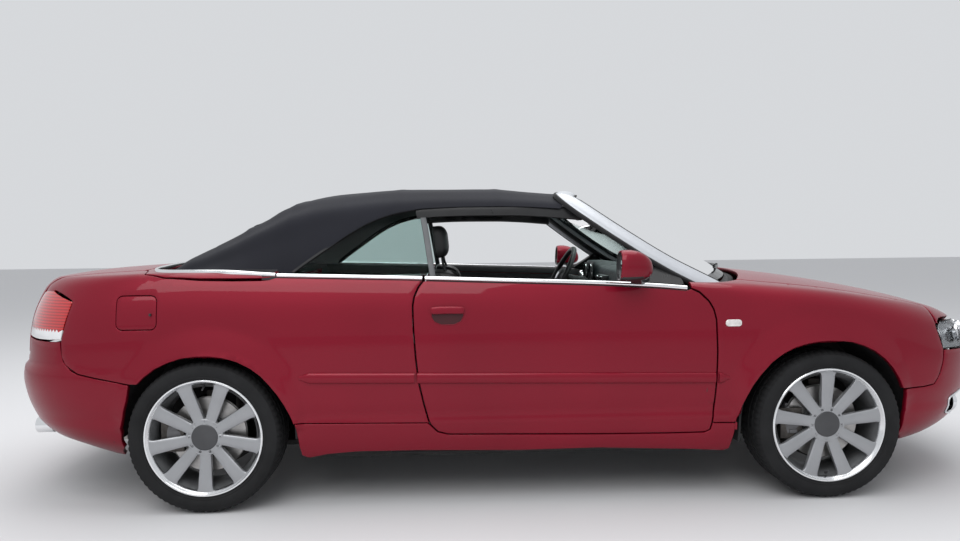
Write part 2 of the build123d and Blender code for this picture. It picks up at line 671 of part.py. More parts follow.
HINGE_PILLAR = (DOOR_HINGE_X - 70.0, FIREWALL_X - 2.0)
pillar_y = (-CABIN_HALF + 4.0, -CABIN_HALF + 50.0)
firewall_half = CABIN_HALF - 60.0 - SEAT_GAP
firewall = box(FIREWALL_X, FIREWALL_X + WALL, -firewall_half, firewall_half, FLOOR_Z, FIREWALL_TOP)
firewall = firewall + box(FIREWALL_X, FIREWALL_X + WALL, -CABIN_HALF + 4.0, CABIN_HALF - 4.0, 372.0 + SEAT_GAP, FIREWALL_TOP)
pillar = box(HINGE_PILLAR[0], FIREWALL_X, *pillar_y, 372.0 + SEAT_GAP, FIREWALL_TOP)
for level in DOOR_HINGE_LEVELS:
    low, high = level - STRAP_HALF, level + STRAP_HALF
    pillar = pillar + box(DOOR_HINGE_X - 9.0, DOOR_HINGE_X + 9.0, -DOOR_HINGE_Y, pillar_y[0] + 1.0, low, high)
    pillar = pillar + tube_z(HINGE_EYE, low, high, DOOR_HINGE_X, -DOOR_HINGE_Y)
    pillar = pillar - tube_z(HINGE_PIN + RUNNING_FIT, low - 1.0, high + 1.0, DOOR_HINGE_X, -DOOR_HINGE_Y)
pipe_pass = box(FIREWALL_X - 5.0, FIREWALL_X + WALL + 5.0, -60.0, 60.0, 100.0, 270.0)
put((firewall + pillar + mirror(pillar, Plane.XZ)) - pipe_pass, "firewall")

side_wall_x = (BULKHEAD_X - 20.0, DOOR_REAR - 16.0)
side_wall = box(*side_wall_x, -CABIN_HALF - 12.0, -CABIN_HALF + 30.0, SILL_TOP, 955.0)
side_wall = side_wall - arch(REAR_AXLE, -REACH, 0.0, ARCH_RADIUS + 12.0)
put(both(max(side_wall.solids(), key=lambda s: s.volume)), "rear_side_panels")

bulkhead = box(BULKHEAD_X - WALL, BULKHEAD_X, -CABIN_HALF + 90.0, CABIN_HALF - 90.0, FLOOR_Z, 935.0)
boot_front = BULKHEAD_X - WALL
BOOT_HALF = RAIL_Y
BOOT_REAR = TAIL + 170.0
boot = box(BOOT_REAR, boot_front, -BOOT_HALF, BOOT_HALF, BOOT_FLOOR, BOOT_FLOOR + WALL)
boot_wall = box(REAR_AXLE - 420.0, boot_front, -BOOT_HALF - WALL, -BOOT_HALF, BOOT_FLOOR, 900.0)
boot_wall = boot_wall + box(BOOT_REAR, REAR_AXLE - 400.0, -BOOT_HALF - WALL, -BOOT_HALF, BOOT_FLOOR, 660.0)
tail_panel = box(BOOT_REAR - WALL, BOOT_REAR, -BOOT_HALF - WALL, BOOT_HALF + WALL, BOOT_FLOOR, 600.0)
well = tube_z(200.0, BOOT_FLOOR - 60.0, BOOT_FLOOR, REAR_AXLE - 480.0, 0.0)
bulkhead = bulkhead - both(arch(REAR_AXLE, -REACH, -RAIL_Y, ARCH_RADIUS + 10.0 + SEAT_GAP))
bulkhead = bulkhead - box(BULKHEAD_X - WALL - 5.0, BULKHEAD_X + 5.0, -60.0, 60.0, 100.0, 270.0)
lid_ear = box(lid_x - 8.0, lid_x + 8.0, -LID_EAR_Y - 5.0, -LID_EAR_Y + 5.0, 890.0, lid_z)
lid_ear = lid_ear + tube_y(8.0, -LID_EAR_Y - 5.0, -LID_EAR_Y + 5.0, lid_x, lid_z)
lid_ear = lid_ear - tube_y(LID_PIN + RUNNING_FIT, -LID_EAR_Y - 6.0, -LID_EAR_Y + 6.0, lid_x, lid_z)
boot_tub = boot + boot_wall + mirror(boot_wall, Plane.XZ) + tail_panel + well
put(bulkhead, "rear_bulkhead")
put((boot_tub & INNER) + lid_ear + mirror(lid_ear, Plane.XZ), "boot_floor")

LINER_WALL = 8.0


def liner(axle, y_in, y_out, bottom):
    """A wheel-arch liner: a half hoop over the tyre, down to the sill and the bumper."""
    outer = arch(axle, y_in, y_out, ARCH_RADIUS + LINER_WALL + 2.0)
    hoop = outer - arch(axle, y_in - 1.0, y_out + 1.0, ARCH_RADIUS + 2.0)
    return hoop - box(axle - 500.0, axle + 500.0, y_in - 2.0, y_out + 2.0, 0.0, bottom)


liner_out = -HALF + 45.0
front_liner = liner(FRONT_AXLE, liner_out, rail_outer, 245.0) & INNER
rear_liner = liner(REAR_AXLE, liner_out, rail_outer, 300.0) & INNER
put(both(max(front_liner.solids(), key=lambda s: s.volume)), "front_arch_liners")
put(both(max(rear_liner.solids(), key=lambda s: s.volume)), "rear_arch_liners")

CROSS_X = (NOSE - 230.0, NOSE - 190.0)
rail_x = (FIREWALL_X + WALL + SEAT_GAP, CROSS_X[0])
inner_wing = box(*rail_x, -RAIL_Y - WALL, -RAIL_Y, 250.0, 700.0)
front_rail = box(rail_x[0], NOSE - 330.0, -RAIL_Y, -RAIL_Y + 70.0, 250.0, 330.0)
cross = box(*CROSS_X, -RAIL_Y - WALL, RAIL_Y + WALL, 430.0, 540.0)
cross_low = box(*CROSS_X, -RAIL_Y - WALL, RAIL_Y + WALL, 310.0, 350.0)
ends = box(*CROSS_X, -RAIL_Y - WALL, -RAIL_Y + 70.0, 310.0, 640.0)
half_frame = inner_wing + front_rail + ends
frame = half_frame + mirror(half_frame, Plane.XZ) + cross + cross_low
put(frame & INNER, "front_frame")
engine = box(FRONT_AXLE - 330.0, FRONT_AXLE + 330.0, -260.0, 260.0, 250.0, 740.0)
engine_foot = box(FRONT_AXLE + 60.0, FRONT_AXLE + 140.0, -RAIL_Y + SEAT_GAP, -259.0, 400.0, 440.0)
put(engine + both(engine_foot), "engine_block")

# --- windscreen ---
# The outer face at two heights: height, station on the centre line, station at the corner, half width.
SCREEN_BASE = (925.0, fx(-237.0), fx(-457.0), HALF - 143.0)
SCREEN_HEAD = (1340.0, fx(-955.0), fx(-1065.0), HALF - 308.0)
FRAME_DEPTH = 50.0
PILLAR_WIDTH = 48.0
HEADER_LOW = 1306.0
SCREEN_LOW = 940.0


def screen_band(z, narrow, setback, depth):
    """Level section of a layer that follows the windscreen: two arcs joined by short ends."""
    z0, mid0, side0, half0 = SCREEN_BASE
    z1, mid1, side1, half1 = SCREEN_HEAD
    t = (z - z0) / (z1 - z0)
    mid = mid0 + (mid1 - mid0) * t
    bow = mid - side0 - (side1 - side0) * t
    half = half0 + (half1 - half0) * t
    bend = (half * half + bow * bow) / (2.0 * bow)
    half -= narrow
    side = mid - setback - bend + math.sqrt(bend * bend - half * half)
    mid -= setback
    edges = [
        ThreePointArc((side, -half, z), (mid, 0, z), (side, half, z)),
        Line((side, half, z), (side - depth, half, z)),
        ThreePointArc((side - depth, half, z), (mid - depth, 0, z), (side - depth, -half, z)),
        Line((side - depth, -half, z), (side, -half, z)),
    ]
    return Face(Wire([edge.edge() for edge in edges]))


def screen_layer(z_low, z_high, narrow, setback, depth):
    low = screen_band(z_low, narrow, setback, depth)
    high = screen_band(z_high, narrow, setback, depth)
    return loft([low, high], ruled=True)


# --- soft top ---
# Sections: station, foot height and half width, rail height and half width,
# corner height and half width, crown height.
TOP_FOOT = 972.0
TOP_SECTIONS = [
    (fx(-942.0), TOP_FOOT, 736.0, 1266.0, 606.0, 1318.0, 510.0, 1350.0),
    (fx(-1127.0), TOP_FOOT, 736.0, 1276.0, 606.0, 1331.0, 505.0, 1366.0),
    (fx(-1617.0), TOP_FOOT, 736.0, 1278.0, 605.0, 1360.0, 500.0, ROOF_HEIGHT),
    (rx(627.0), TOP_FOOT, 738.0, 1264.0, 612.0, 1347.0, 500.0, 1379.0),
    (rx(347.0), TOP_FOOT, 738.0, 1226.0, 618.0, 1300.0, 500.0, 1336.0),
    (rx(77.0), TOP_FOOT, 736.0, 1120.0, 620.0, 1172.0, 500.0, 1196.0),
    (rx(-123.0), TOP_FOOT, 730.0, 1040.0, 610.0, 1078.0, 500.0, 1096.0),
    (rx(-240.0), TOP_FOOT, 700.0, 1004.0, 600.0, 1016.0, 500.0, 1030.0),
]
HEADER_SPLIT = 1262.0
WINDOW_EDGE = [
    (rx(361.0), 1000.0),
    (rx(440.0), 1058.0),
    (rx(596.0), 1165.0),
    (rx(675.0), 1210.0),
    (rx(753.0), 1240.0),
    (rx(885.0), 1262.0),
    (fx(-930.0), 1264.0),
]


def top_section(x, z_foot, y_foot, z_rail, y_rail, z_corner, y_corner, z_crown, inset):
    points = [
        (x, -y_foot + inset, z_foot),
        (x, -y_rail + inset, z_rail - inset),
        (x, -y_corner + inset, z_corner - inset),
    ]
    other = [(px, -py, pz) for px, py, pz in reversed(points)]
    edges = [
        Line(points[0], points[1]),
        Line(points[1], points[2]),
        ThreePointArc(points[2], (x, 0, z_crown - inset), other[0]),
        Line(other[0], other[1]),
        Line(other[1], other[2]),
        Line(other[2], points[0]),
    ]
    return Face(Wire([edge.edge() for edge in edges]))


def top_form(inset):
    """The roof's outer form, or the form an inset inside it."""
    return loft([top_section(*section, inset) for section in TOP_SECTIONS], ruled=True)


ROOF = top_form(0.0)
window_below = [(WINDOW_EDGE[-1][0], 900.0), (WINDOW_EDGE[0][0], 900.0)]
window_opening = side_prism(WINDOW_EDGE + window_below, -REACH, -460.0)
REAR_GLASS = (rx(-85.0), rx(262.0), 430.0)
glass_rear, glass_front, glass_half = REAR_GLASS
rear_glass_hole = box(glass_rear, glass_front, -glass_half, glass_half, 900.0, 1500.0)
ahead_of_header = screen_layer(1200.0, 1420.0, -60.0, -400.0, 400.0 + FRAME_DEPTH + SEAT_GAP)
cloth = (ROOF - top_form(FABRIC)) & top_base_plan(0.0, TOP_FOOT, 1500.0)
cloth = cloth - both(window_opening) - rear_glass_hole - ahead_of_header
put(max(cloth.solids(), key=lambda s: s.volume), "soft_top")
glass_zone = box(
    glass_rear + SEAT_GAP, glass_front - SEAT_GAP, -glass_half + SEAT_GAP, glass_half - SEAT_GAP, 900.0, 1500.0
)
put((top_form(8.0) - top_form(8.0 + GLASS)) & glass_zone, "rear_window")

screen_hole = screen_layer(SCREEN_LOW, HEADER_LOW, PILLAR_WIDTH, -40.0, FRAME_DEPTH + 80.0)
pillars = screen_layer(SCREEN_BASE[0], HEADER_SPLIT, 0.0, 0.0, FRAME_DEPTH)
header = screen_layer(HEADER_SPLIT, 1400.0, 0.0, 0.0, FRAME_DEPTH) & ROOF
put((pillars + header) - screen_hole, "windscreen_frame")
screen_glass = screen_layer(
    SCREEN_LOW + SEAT_GAP, HEADER_LOW - SEAT_GAP, PILLAR_WIDTH + SEAT_GAP, 10.0, GLASS * 2
)
put(screen_glass, "windscreen")

# --- cowl and wipers ---
bonnet_bend = (BONNET_HALF**2 + PLAN_BOW**2) / (2.0 * PLAN_BOW)
cowl_mid = BONNET_REAR + PLAN_BOW - COWL_GAP
cowl_side = cowl_mid - bonnet_bend + math.sqrt(bonnet_bend**2 - COWL_HALF**2)
cowl_back = FIREWALL_X + 2.0
cowl_edges = [
    ThreePointArc((cowl_side, COWL_HALF, 0), (cowl_mid, 0, 0), (cowl_side, -COWL_HALF, 0)),
    Line((cowl_side, -COWL_HALF, 0), (cowl_back, -COWL_HALF, 0)),
    Line((cowl_back, -COWL_HALF, 0), (cowl_back, COWL_HALF, 0)),
    Line((cowl_back, COWL_HALF, 0), (cowl_side, COWL_HALF, 0)),
]
cowl_blank = Solid.extrude(Face(Wire([edge.edge() for edge in cowl_edges])), Vector(0, 0, 1200))
cowl_blank = cowl_blank & envelope(32.0) & box(0.0, NOSE, -REACH, REACH, FIREWALL_TOP + SEAT_GAP, 1100.0)
screen_keep_out = screen_layer(SCREEN_BASE[0] - SEAT_GAP, 1400.0, -60.0, -SEAT_GAP, 400.0)
lug_pocket = box(hinge_x - 20.0, NOSE, -lug_out - 5.0, -lug_in + 5.0, 800.0, 1100.0)
lug_bore = tube_y(HINGE_PIN + RUNNING_FIT, -lug_out - 15.5, -lug_out, hinge_x, hinge_z)
cowl = cowl_blank - screen_keep_out - both(lug_pocket) - both(lug_bore)
cowl = max(cowl.solids(), key=lambda s: s.volume)
put(cowl, "cowl")

BLADES = ((-640.0, -70.0), (-20.0, 560.0))
blade_strip = screen_layer(SCREEN_BASE[0] + 2.0, 968.0, PILLAR_WIDTH + 20.0, -14.0, 13.0)
cowl_room = Pos(0, 0, SEAT_GAP) * cowl_blank
blades = []
for blade_low, blade_high in BLADES:
    region = box(0.0, NOSE, blade_low, blade_high, 956.0, 1000.0)
    region = region + box(0.0, NOSE, blade_low, blade_low + 40.0, 900.0, 1000.0)
    blades.append(max(((blade_strip & region) - cowl_room).solids(), key=lambda s: s.volume))
put(Compound(children=blades), "wipers")

# --- quarter windows ---
GLASS_FOOT = (CABIN_HALF, 955.0 + SEAT_GAP)
GLASS_HEAD = (596.0, 1262.0)


def section_prism(points, x0, x1):
    """An outline of (y, z) points, carried from x0 to x1."""
    face = Face(Wire(Polyline(*[(x0, y, z) for y, z in points], close=True).edges()))
    return Solid.extrude(face, Vector(x1 - x0, 0, 0))


foot_y, foot_z = GLASS_FOOT
head_y, head_z = GLASS_HEAD
pane = section_prism(
    [(-foot_y, foot_z), (-head_y, head_z), (-head_y + GLASS, head_z), (-foot_y + GLASS, foot_z)],
    rx(300.0),
    rx(1000.0),
)
pane_outline = [
    (rx(361.5), 940.0),
    (rx(361.5), 1000.0 - 1.0),
    (rx(440.0), 1058.0 - 1.0),
    (rx(596.0), 1165.0 - 1.0),
    (rx(675.0), 1210.0 - 1.0),
    (rx(753.0), 1240.0 - 1.0),
    (rx(880.0), 1262.0 - 1.0),
    (rx(930.0), 1262.0 - 1.0),
    (rx(962.0), 940.0),
]
put(both(pane & side_prism(pane_outline, -REACH, 0.0)), "quarter_windows")

# --- cabin ---
DASH_FACE = fx(-817.0)
DASH_TOP = 1002.0
dash_side = [
    (DASH_FACE + 30.0, 690.0),
    (DASH_FACE, 930.0),
    (DASH_FACE + 50.0, DASH_TOP),
    (DASH_FACE + 200.0, DASH_TOP),
    (FIREWALL_X - SEAT_GAP, 930.0),
    (FIREWALL_X - SEAT_GAP, 690.0),
]
dash_keep_out = screen_layer(850.0, 1400.0, -60.0, -400.0, 400.0 + FRAME_DEPTH + 4.0)
dash_room = box(HINGE_PILLAR[0] - 4.0, FIREWALL_X, -REACH, -CABIN_HALF + 54.0, 300.0, 1100.0)
dash = side_prism(dash_side, -CABIN_HALF + 6.0, CABIN_HALF - 6.0) - dash_keep_out - both(dash_room)
dash = max(dash.solids(), key=lambda s: s.volume)
put(dash, "dashboard")

console = box(-470.0, DASH_FACE + 20.0, -100.0, 100.0, tunnel_top + SEAT_GAP, 560.0)
stack = box(DASH_FACE - 40.0, DASH_FACE + 100.0, -100.0, 100.0, 500.0, 690.0 - SEAT_GAP)
put(console + stack, "centre_console")

SEAT_Y = 370.0
SEAT_HALF = 245.0
seat_cushion = [(-215.0, 420.0), (-215.0, 505.0), (-60.0, 500.0), (285.0, 545.0), (300.0, 470.0), (270.0, 400.0)]
seat_back = [(-120.0, 440.0), (-150.0, 560.0), (-262.0, 985.0), (-345.0, 1000.0), (-372.0, 960.0), (-255.0, 430.0)]
head_rest = [(-306.0, 1030.0), (-316.0, 1180.0), (-345.0, 1199.0), (-398.0, 1180.0), (-392.0, 1030.0)]
seat = side_prism(seat_cushion, -SEAT_Y - SEAT_HALF, -SEAT_Y + SEAT_HALF)
seat = seat + side_prism(seat_back, -SEAT_Y - SEAT_HALF + 10.0, -SEAT_Y + SEAT_HALF - 10.0)
seat = seat + side_prism(head_rest, -SEAT_Y - 130.0, -SEAT_Y + 130.0)
seat = seat + box(-365.0, -335.0, -SEAT_Y - 60.0, -SEAT_Y + 60.0, 970.0, 1040.0)
seat = seat + box(-160.0, 230.0, -SEAT_Y - 190.0, -SEAT_Y + 190.0, FLOOR_TOP, 425.0)
put(both(seat), "front_seats")

REAR_SEAT_HALF = RAIL_Y + 14.0
rear_seat = [
    (rx(760.0), 300.0),
    (rx(790.0), 480.0),
    (rx(740.0), 505.0),
    (rx(430.0), 470.0),
    (rx(335.0), 925.0),
    (rx(250.0), 925.0),
    (BULKHEAD_X + SEAT_GAP, 300.0),
]
rear_base = box(BULKHEAD_X + 60.0, rx(740.0), -REAR_SEAT_HALF + 20.0, REAR_SEAT_HALF - 20.0, tunnel_top + SEAT_GAP, 360.0)
rear_feet = box(rx(600.0), rx(740.0), -REAR_SEAT_HALF + 20.0, -tunnel_half - 5.0, FLOOR_TOP, 360.0)
bench = side_prism(rear_seat, -REAR_SEAT_HALF, REAR_SEAT_HALF) - box(-3000.0, 3000.0, -tunnel_half - 1.0, tunnel_half + 1.0, 0.0, tunnel_top + SEAT_GAP)
put(bench + rear_base + rear_feet + mirror(rear_feet, Plane.XZ), "rear_seat")

MIRROR_GLASS_X = fx(-925.0)
inner_mirror = box(MIRROR_GLASS_X - 15.0, MIRROR_GLASS_X + 15.0, -120.0, 120.0, 1222.0, 1282.0)
mirror_stem = box(MIRROR_GLASS_X, MIRROR_GLASS_X + 120.0, -12.0, 12.0, 1250.0, 1270.0)
glass_back = screen_layer(1200.0, 1300.0, 0.0, -200.0, 200.0 + 10.0 + GLASS * 2 + SEAT_GAP)
put(max(((inner_mirror + mirror_stem) - glass_back).solids(), key=lambda s: s.volume), "interior_mirror")

# --- steering ---
STEER_WHEEL = (fx(-987.0), 370.0, 908.0)
STEER_TILT = 28.0
STEER_RING = (180.0, 15.0)
STEER_SHAFT = 12.0
steer_frame = Location(STEER_WHEEL, (0, 90 + STEER_TILT, 0))
ring_major, ring_minor = STEER_RING
ring = Torus(ring_major, ring_minor)
hub = Pos(0, 0, -4.0) * Cylinder(58.0, 44.0)
arms = [Rot(0, 0, turn) * (Pos(0, ring_major / 2 + 10.0, 4.0) * Box(38.0, ring_major - 30.0, 12.0)) for turn in (90, -90, 180)]
shaft_hole = Pos(0, 0, 10.0) * Cylinder(STEER_SHAFT + RUNNING_FIT, 40.0)
wheel_body = ring + hub
for arm in arms:
    wheel_body = wheel_body + arm
put(steer_frame * (wheel_body - shaft_hole), "steering_wheel")
shroud = Pos(0, 0, 24.0 + 90.0) * Cylinder(40.0, 180.0 - 12.0)
shaft = Pos(0, 0, 60.0) * Cylinder(STEER_SHAFT, 139.0)
column = steer_frame * (shroud + shaft)
put(max((column - dash).solids(), key=lambda s: s.volume), "steering_column")

# --- wheels ---
# Distances across a wheel are measured outward from its middle plane.
RIM_HALF = 118.0
LIP_RADIUS = 246.0
HUB_RADIUS = 76.0
MOUNT_FACE = 38.0
SPINDLE_END = 77.0
DISC_FACE = 31.0
SPOKE_DEPTH = 28.0
BORE = SPINDLE_RADIUS + RUNNING_FIT


def revolve_about_y(points):
    """A closed outline of (radius, outward) points, turned round the wheel's axis, outward is -Y."""
    face = Face(Wire(Polyline(*[(radius, -out, 0) for radius, out in points], close=True).edges()))
    return revolve(face, Axis.Y, 360)


def tyre():
    """Sidewalls that bulge past the rim, round shoulders and a flat tread."""
    half = TYRE_WIDTH / 2
    bead = RIM_RADIUS + SEAT_GAP
    seat = RIM_HALF - 12.0 - SEAT_GAP
    top = TYRE_RADIUS
    tread = half - 16.0
    edges = [
        Line((bead, -seat, 0), (LIP_RADIUS + 6.0, -seat, 0)),
        ThreePointArc((LIP_RADIUS + 6.0, -seat, 0), (top - 40.0, -half, 0), (top - 12.0, -half + 6.0, 0)),
        ThreePointArc((top - 12.0, -half + 6.0, 0), (top - 3.5, -half + 10.0, 0), (top, -tread, 0)),
        Line((top, -tread, 0), (top, tread, 0)),
        ThreePointArc((top, tread, 0), (top - 3.5, half - 10.0, 0), (top - 12.0, half - 6.0, 0)),
        ThreePointArc((top - 12.0, half - 6.0, 0), (top - 40.0, half, 0), (LIP_RADIUS + 6.0, seat, 0)),
        Line((LIP_RADIUS + 6.0, seat, 0), (bead, seat, 0)),
        Line((bead, seat, 0), (bead, -seat, 0)),
    ]
    return revolve(Face(Wire([edge.edge() for edge in edges])), Axis.Y, 360)


def rim():
    """Barrel with two lips, a hub with a blind bore and nine spokes between them."""
    inner = RIM_RADIUS - RIM_WALL
    lip = RIM_HALF - 12.0
    barrel = revolve_about_y(
        [
            (inner, -RIM_HALF),
            (LIP_RADIUS, -RIM_HALF),
            (LIP_RADIUS, -lip),
            (RIM_RADIUS, -lip),
            (RIM_RADIUS, lip),
            (LIP_RADIUS, lip),
            (LIP_RADIUS, RIM_HALF - 7.0),
            (LIP_RADIUS - 6.0, RIM_HALF - 7.0),
            (inner, RIM_HALF - 14.0),
        ]
    )
    hub = revolve_about_y(
        [
            (BORE, MOUNT_FACE),
            (HUB_RADIUS, MOUNT_FACE),
            (HUB_RADIUS, 84.0),
            (HUB_RADIUS - 14.0, 92.0),
            (0.0, 92.0),
            (0.0, SPINDLE_END + 0.5),
            (BORE, SPINDLE_END + 0.5),
        ]
    )
    whole = barrel + hub
    for index in range(SPOKES):
        outline = [(-17.0, HUB_RADIUS - 8.0), (-12.0, inner + 6.0), (12.0, inner + 6.0), (17.0, HUB_RADIUS - 8.0)]
        face = Face(Wire(Polyline(*[(x, -66.0, z) for x, z in outline], close=True).edges()))
        spoke = Solid.extrude(face, Vector(0, -SPOKE_DEPTH, 0))
        whole = whole + Rot(0, 360.0 / SPOKES * index, 0) * spoke
    return whole


def brake_disc():
    """Friction ring and hat, bored to run on the spindle."""
    return revolve_about_y(
        [
            (BORE, DISC_FACE - DISC_THICKNESS),
            (DISC_RADIUS, DISC_FACE - DISC_THICKNESS),
            (DISC_RADIUS, DISC_FACE),
            (HUB_RADIUS, DISC_FACE),
            (HUB_RADIUS, MOUNT_FACE - SEAT_GAP),
            (BORE, MOUNT_FACE - SEAT_GAP),
        ]
    )


CALIPER_GAP = 5.0


def carrier():
    """Upright with its spindle, ball seats on the kingpin line and the brake caliper behind the axle."""
    plate_out = -12.0
    upright = box(-50.0, 50.0, -plate_out, KINGPIN_INSET + 22.0, -BALL_HEIGHT, BALL_HEIGHT)
    spindle = tube_y(SPINDLE_RADIUS, -SPINDLE_END, -plate_out + 1.0, 0.0, 0.0)
    near = DISC_FACE - DISC_THICKNESS - CALIPER_GAP
    far = DISC_FACE + CALIPER_GAP
    inner_pad = box(-172.0, -40.0, -near, -plate_out + 8.0, -70.0, 70.0)
    outer_pad = box(-172.0, -96.0, -far - 20.0, -far, -66.0, 66.0)
    bridge = box(-190.0, -172.0, -far - 20.0, -plate_out + 8.0, -66.0, 66.0)
    return upright + spindle + inner_pad + outer_pad + bridge


TYRE = tyre()
RIM = rim()
DISC = brake_disc()
CARRIER = carrier()
for end, axle in (("front", FRONT_AXLE), ("rear", REAR_AXLE)):
    for side, right in (("right", True), ("left", False)):
        for kind, shape in (("tyre", TYRE), ("rim", RIM), ("brake_disc", DISC)):
            placed = Pos(axle, -HUB_Y, HUB_Z) * shape
            put(placed if right else mirror(placed, Plane.XZ), f"{kind}_{end}_{side}")
knuckle = Pos(FRONT_AXLE, -HUB_Y, HUB_Z) * CARRIER
put(knuckle, "knuckle_right")
put(mirror(knuckle, Plane.XZ), "knuckle_left")
put(both(Pos(REAR_AXLE, -HUB_Y, HUB_Z) * CARRIER), "rear_hub_carriers")

# --- suspension ---
ARM_THICKNESS = 24.0
RACK = (FRONT_AXLE - 110.0, 222.0)
LOWER_TOP = HUB_Z - BALL_HEIGHT - SEAT_GAP
UPPER_LOW = HUB_Z + BALL_HEIGHT + SEAT_GAP
SUBFRAME_HALF = 330.0
STRUT = (70.0, 520.0, 25.0)
TOWER_LOW = ARCH_RADIUS + HUB_Z - 46.0


def suspension(axle, subframe_top):
    """A subframe with two lower arms, and on each side an upper arm and a strut."""
    low = LOWER_TOP - ARM_THICKNESS
    subframe = box(axle - 170.0, axle + 170.0, -SUBFRAME_HALF, SUBFRAME_HALF, low, subframe_top)
    if axle == FRONT_AXLE:
        rack_x, rack_z = RACK
        subframe = subframe + tube_y(20.0, -RAIL_Y + 12.0, RAIL_Y - 12.0, rack_x, rack_z)
        for foot in (-200.0, 200.0):
            subframe = subframe + box(rack_x - 16.0, rack_x + 16.0, foot - 15.0, foot + 15.0, subframe_top - 1.0, rack_z)
    arm = plan_prism(
        [
            (axle - 25.0, -KINGPIN_Y - 22.0),
            (axle + 25.0, -KINGPIN_Y - 22.0),
            (axle + 105.0, -SUBFRAME_HALF + 1.0),
            (axle - 105.0, -SUBFRAME_HALF + 1.0),
        ],
        low,
        LOWER_TOP,
    )
    upper = box(axle - 24.0, axle + 24.0, -KINGPIN_Y - 22.0, rail_outer, UPPER_LOW, UPPER_LOW + ARM_THICKNESS)
    strut_x, strut_y, strut_radius = STRUT
    strut = tube_z(strut_radius, LOWER_TOP + SEAT_GAP, TOWER_LOW + 1.0, axle + strut_x, -strut_y)
    tower = box(axle + 30.0, axle + 110.0, -strut_y - 40.0, rail_outer, TOWER_LOW, TOWER_LOW + 22.0)
    sides = [upper, strut + tower]
    solids = [subframe + arm + mirror(arm, Plane.XZ)]
    for shape in sides:
        solids += [shape, mirror(shape, Plane.XZ)]
    return Compound(children=[solid for shape in solids for solid in shape.solids()])


put(suspension(FRONT_AXLE, 190.0), "front_suspension")
put(suspension(REAR_AXLE, 185.0), "rear_suspension")

# --- exhaust ---
PIPE_RADIUS = 30.0
PIPE_Z = 222.0
SILENCER = (TAIL + 424.0, TAIL + 590.0, 230.0, 430.0, 212.0, BOOT_FLOOR - SEAT_GAP)
muffler_x0, muffler_x1, muffler_in, muffler_out, muffler_low, muffler_top = SILENCER
main_pipe = tube_x(PIPE_RADIUS, FRONT_AXLE - 380.0, muffler_x1 + 60.0, 0.0, PIPE_Z)
cross_pipe = tube_y(PIPE_RADIUS, -muffler_in - 60.0, muffler_in + 60.0, muffler_x1 + 45.0, PIPE_Z)
entry = tube_x(PIPE_RADIUS, muffler_x1 + 45.0, muffler_x1 - 10.0, -muffler_in - 50.0, PIPE_Z)
muffler = box(muffler_x0, muffler_x1, -muffler_out, -muffler_in, muffler_low, muffler_top)
outlet_x = muffler_x0 + 40.0
outlet = tube_y(PIPE_RADIUS - 10.0, pipe_y, -muffler_out + 5.0, outlet_x, pipe_z - 14.0)
tail_end = TAIL + 424.0
tail_blank = tube_x(pipe_radius, TAIL + 166.0, tail_end, pipe_y, pipe_z)
tail_blank = tail_blank + tube_x(PIPE_RADIUS - 8.0, tail_end - 1.0, outlet_x + 26.0, pipe_y, pipe_z - 14.0)
tail_bore = tube_x(pipe_radius - 4.0, TAIL + 166.0, tail_end - 60.0, pipe_y, pipe_z)
half_system = entry + muffler + outlet + (tail_blank - tail_bore)
put(main_pipe + cross_pipe + half_system + mirror(half_system, Plane.XZ), "exhaust")
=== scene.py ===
import math

import bpy
import numpy as np
from mathutils import Matrix, Vector, geometry


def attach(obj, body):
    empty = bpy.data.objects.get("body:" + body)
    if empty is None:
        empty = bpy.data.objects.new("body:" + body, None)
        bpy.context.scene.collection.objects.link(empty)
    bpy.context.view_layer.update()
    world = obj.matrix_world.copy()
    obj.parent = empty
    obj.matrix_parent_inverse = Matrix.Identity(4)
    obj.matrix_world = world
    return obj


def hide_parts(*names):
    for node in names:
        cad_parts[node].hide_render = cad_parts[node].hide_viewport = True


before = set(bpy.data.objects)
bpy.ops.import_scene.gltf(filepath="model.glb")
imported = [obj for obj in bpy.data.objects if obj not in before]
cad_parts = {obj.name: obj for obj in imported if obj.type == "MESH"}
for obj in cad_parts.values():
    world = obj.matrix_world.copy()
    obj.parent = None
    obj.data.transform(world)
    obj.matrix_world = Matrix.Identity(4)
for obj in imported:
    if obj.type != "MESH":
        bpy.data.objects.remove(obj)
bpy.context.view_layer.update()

# All shapes are drawn in mm, with x measured from half-way between the axles; right-hand side is negative y.
SHIFT = 34.0  # from there to the frame's origin, under the middle of the car's box
NOSE = 2252.0
TAIL = -2320.0
MIRROR_Y = (1, -1, 1)


# ---------- small tools ----------
def metres(points):
    return (np.asarray(points, float).reshape(-1, 3) + (SHIFT, 0.0, 0.0)) * 0.001


def curve(*pairs):
    """Monotone cubic through (x, y) pairs."""
    xs, ys = np.array(sorted(pairs), float).T
    h = np.diff(xs)
    d = np.diff(ys) / h
    m = np.concatenate([[d[0]], np.zeros(len(xs) - 2), [d[-1]]])
    for i in range(1, len(xs) - 1):
        if d[i - 1] * d[i] > 0:
            w1, w2 = 2 * h[i] + h[i - 1], h[i] + 2 * h[i - 1]
            m[i] = (w1 + w2) / (w1 / d[i - 1] + w2 / d[i])

    def f(x):
        x = np.clip(np.asarray(x, float), xs[0], xs[-1])
        i = np.clip(np.searchsorted(xs, x) - 1, 0, len(h) - 1)
        t = (x - xs[i]) / h[i]
        a, b = t * t * (3 - 2 * t), t * t * (t - 1)
        return ys[i] * (1 - a) + ys[i + 1] * a + h[i] * (m[i] * t * (1 - t) ** 2 + m[i + 1] * b)

    return f


def smooth(t):
    t = np.clip(t, 0, 1)
    return t * t * (3 - 2 * t)


def unit(v):
    return v / np.maximum(np.linalg.norm(v, axis=-1, keepdims=True), 1e-9)


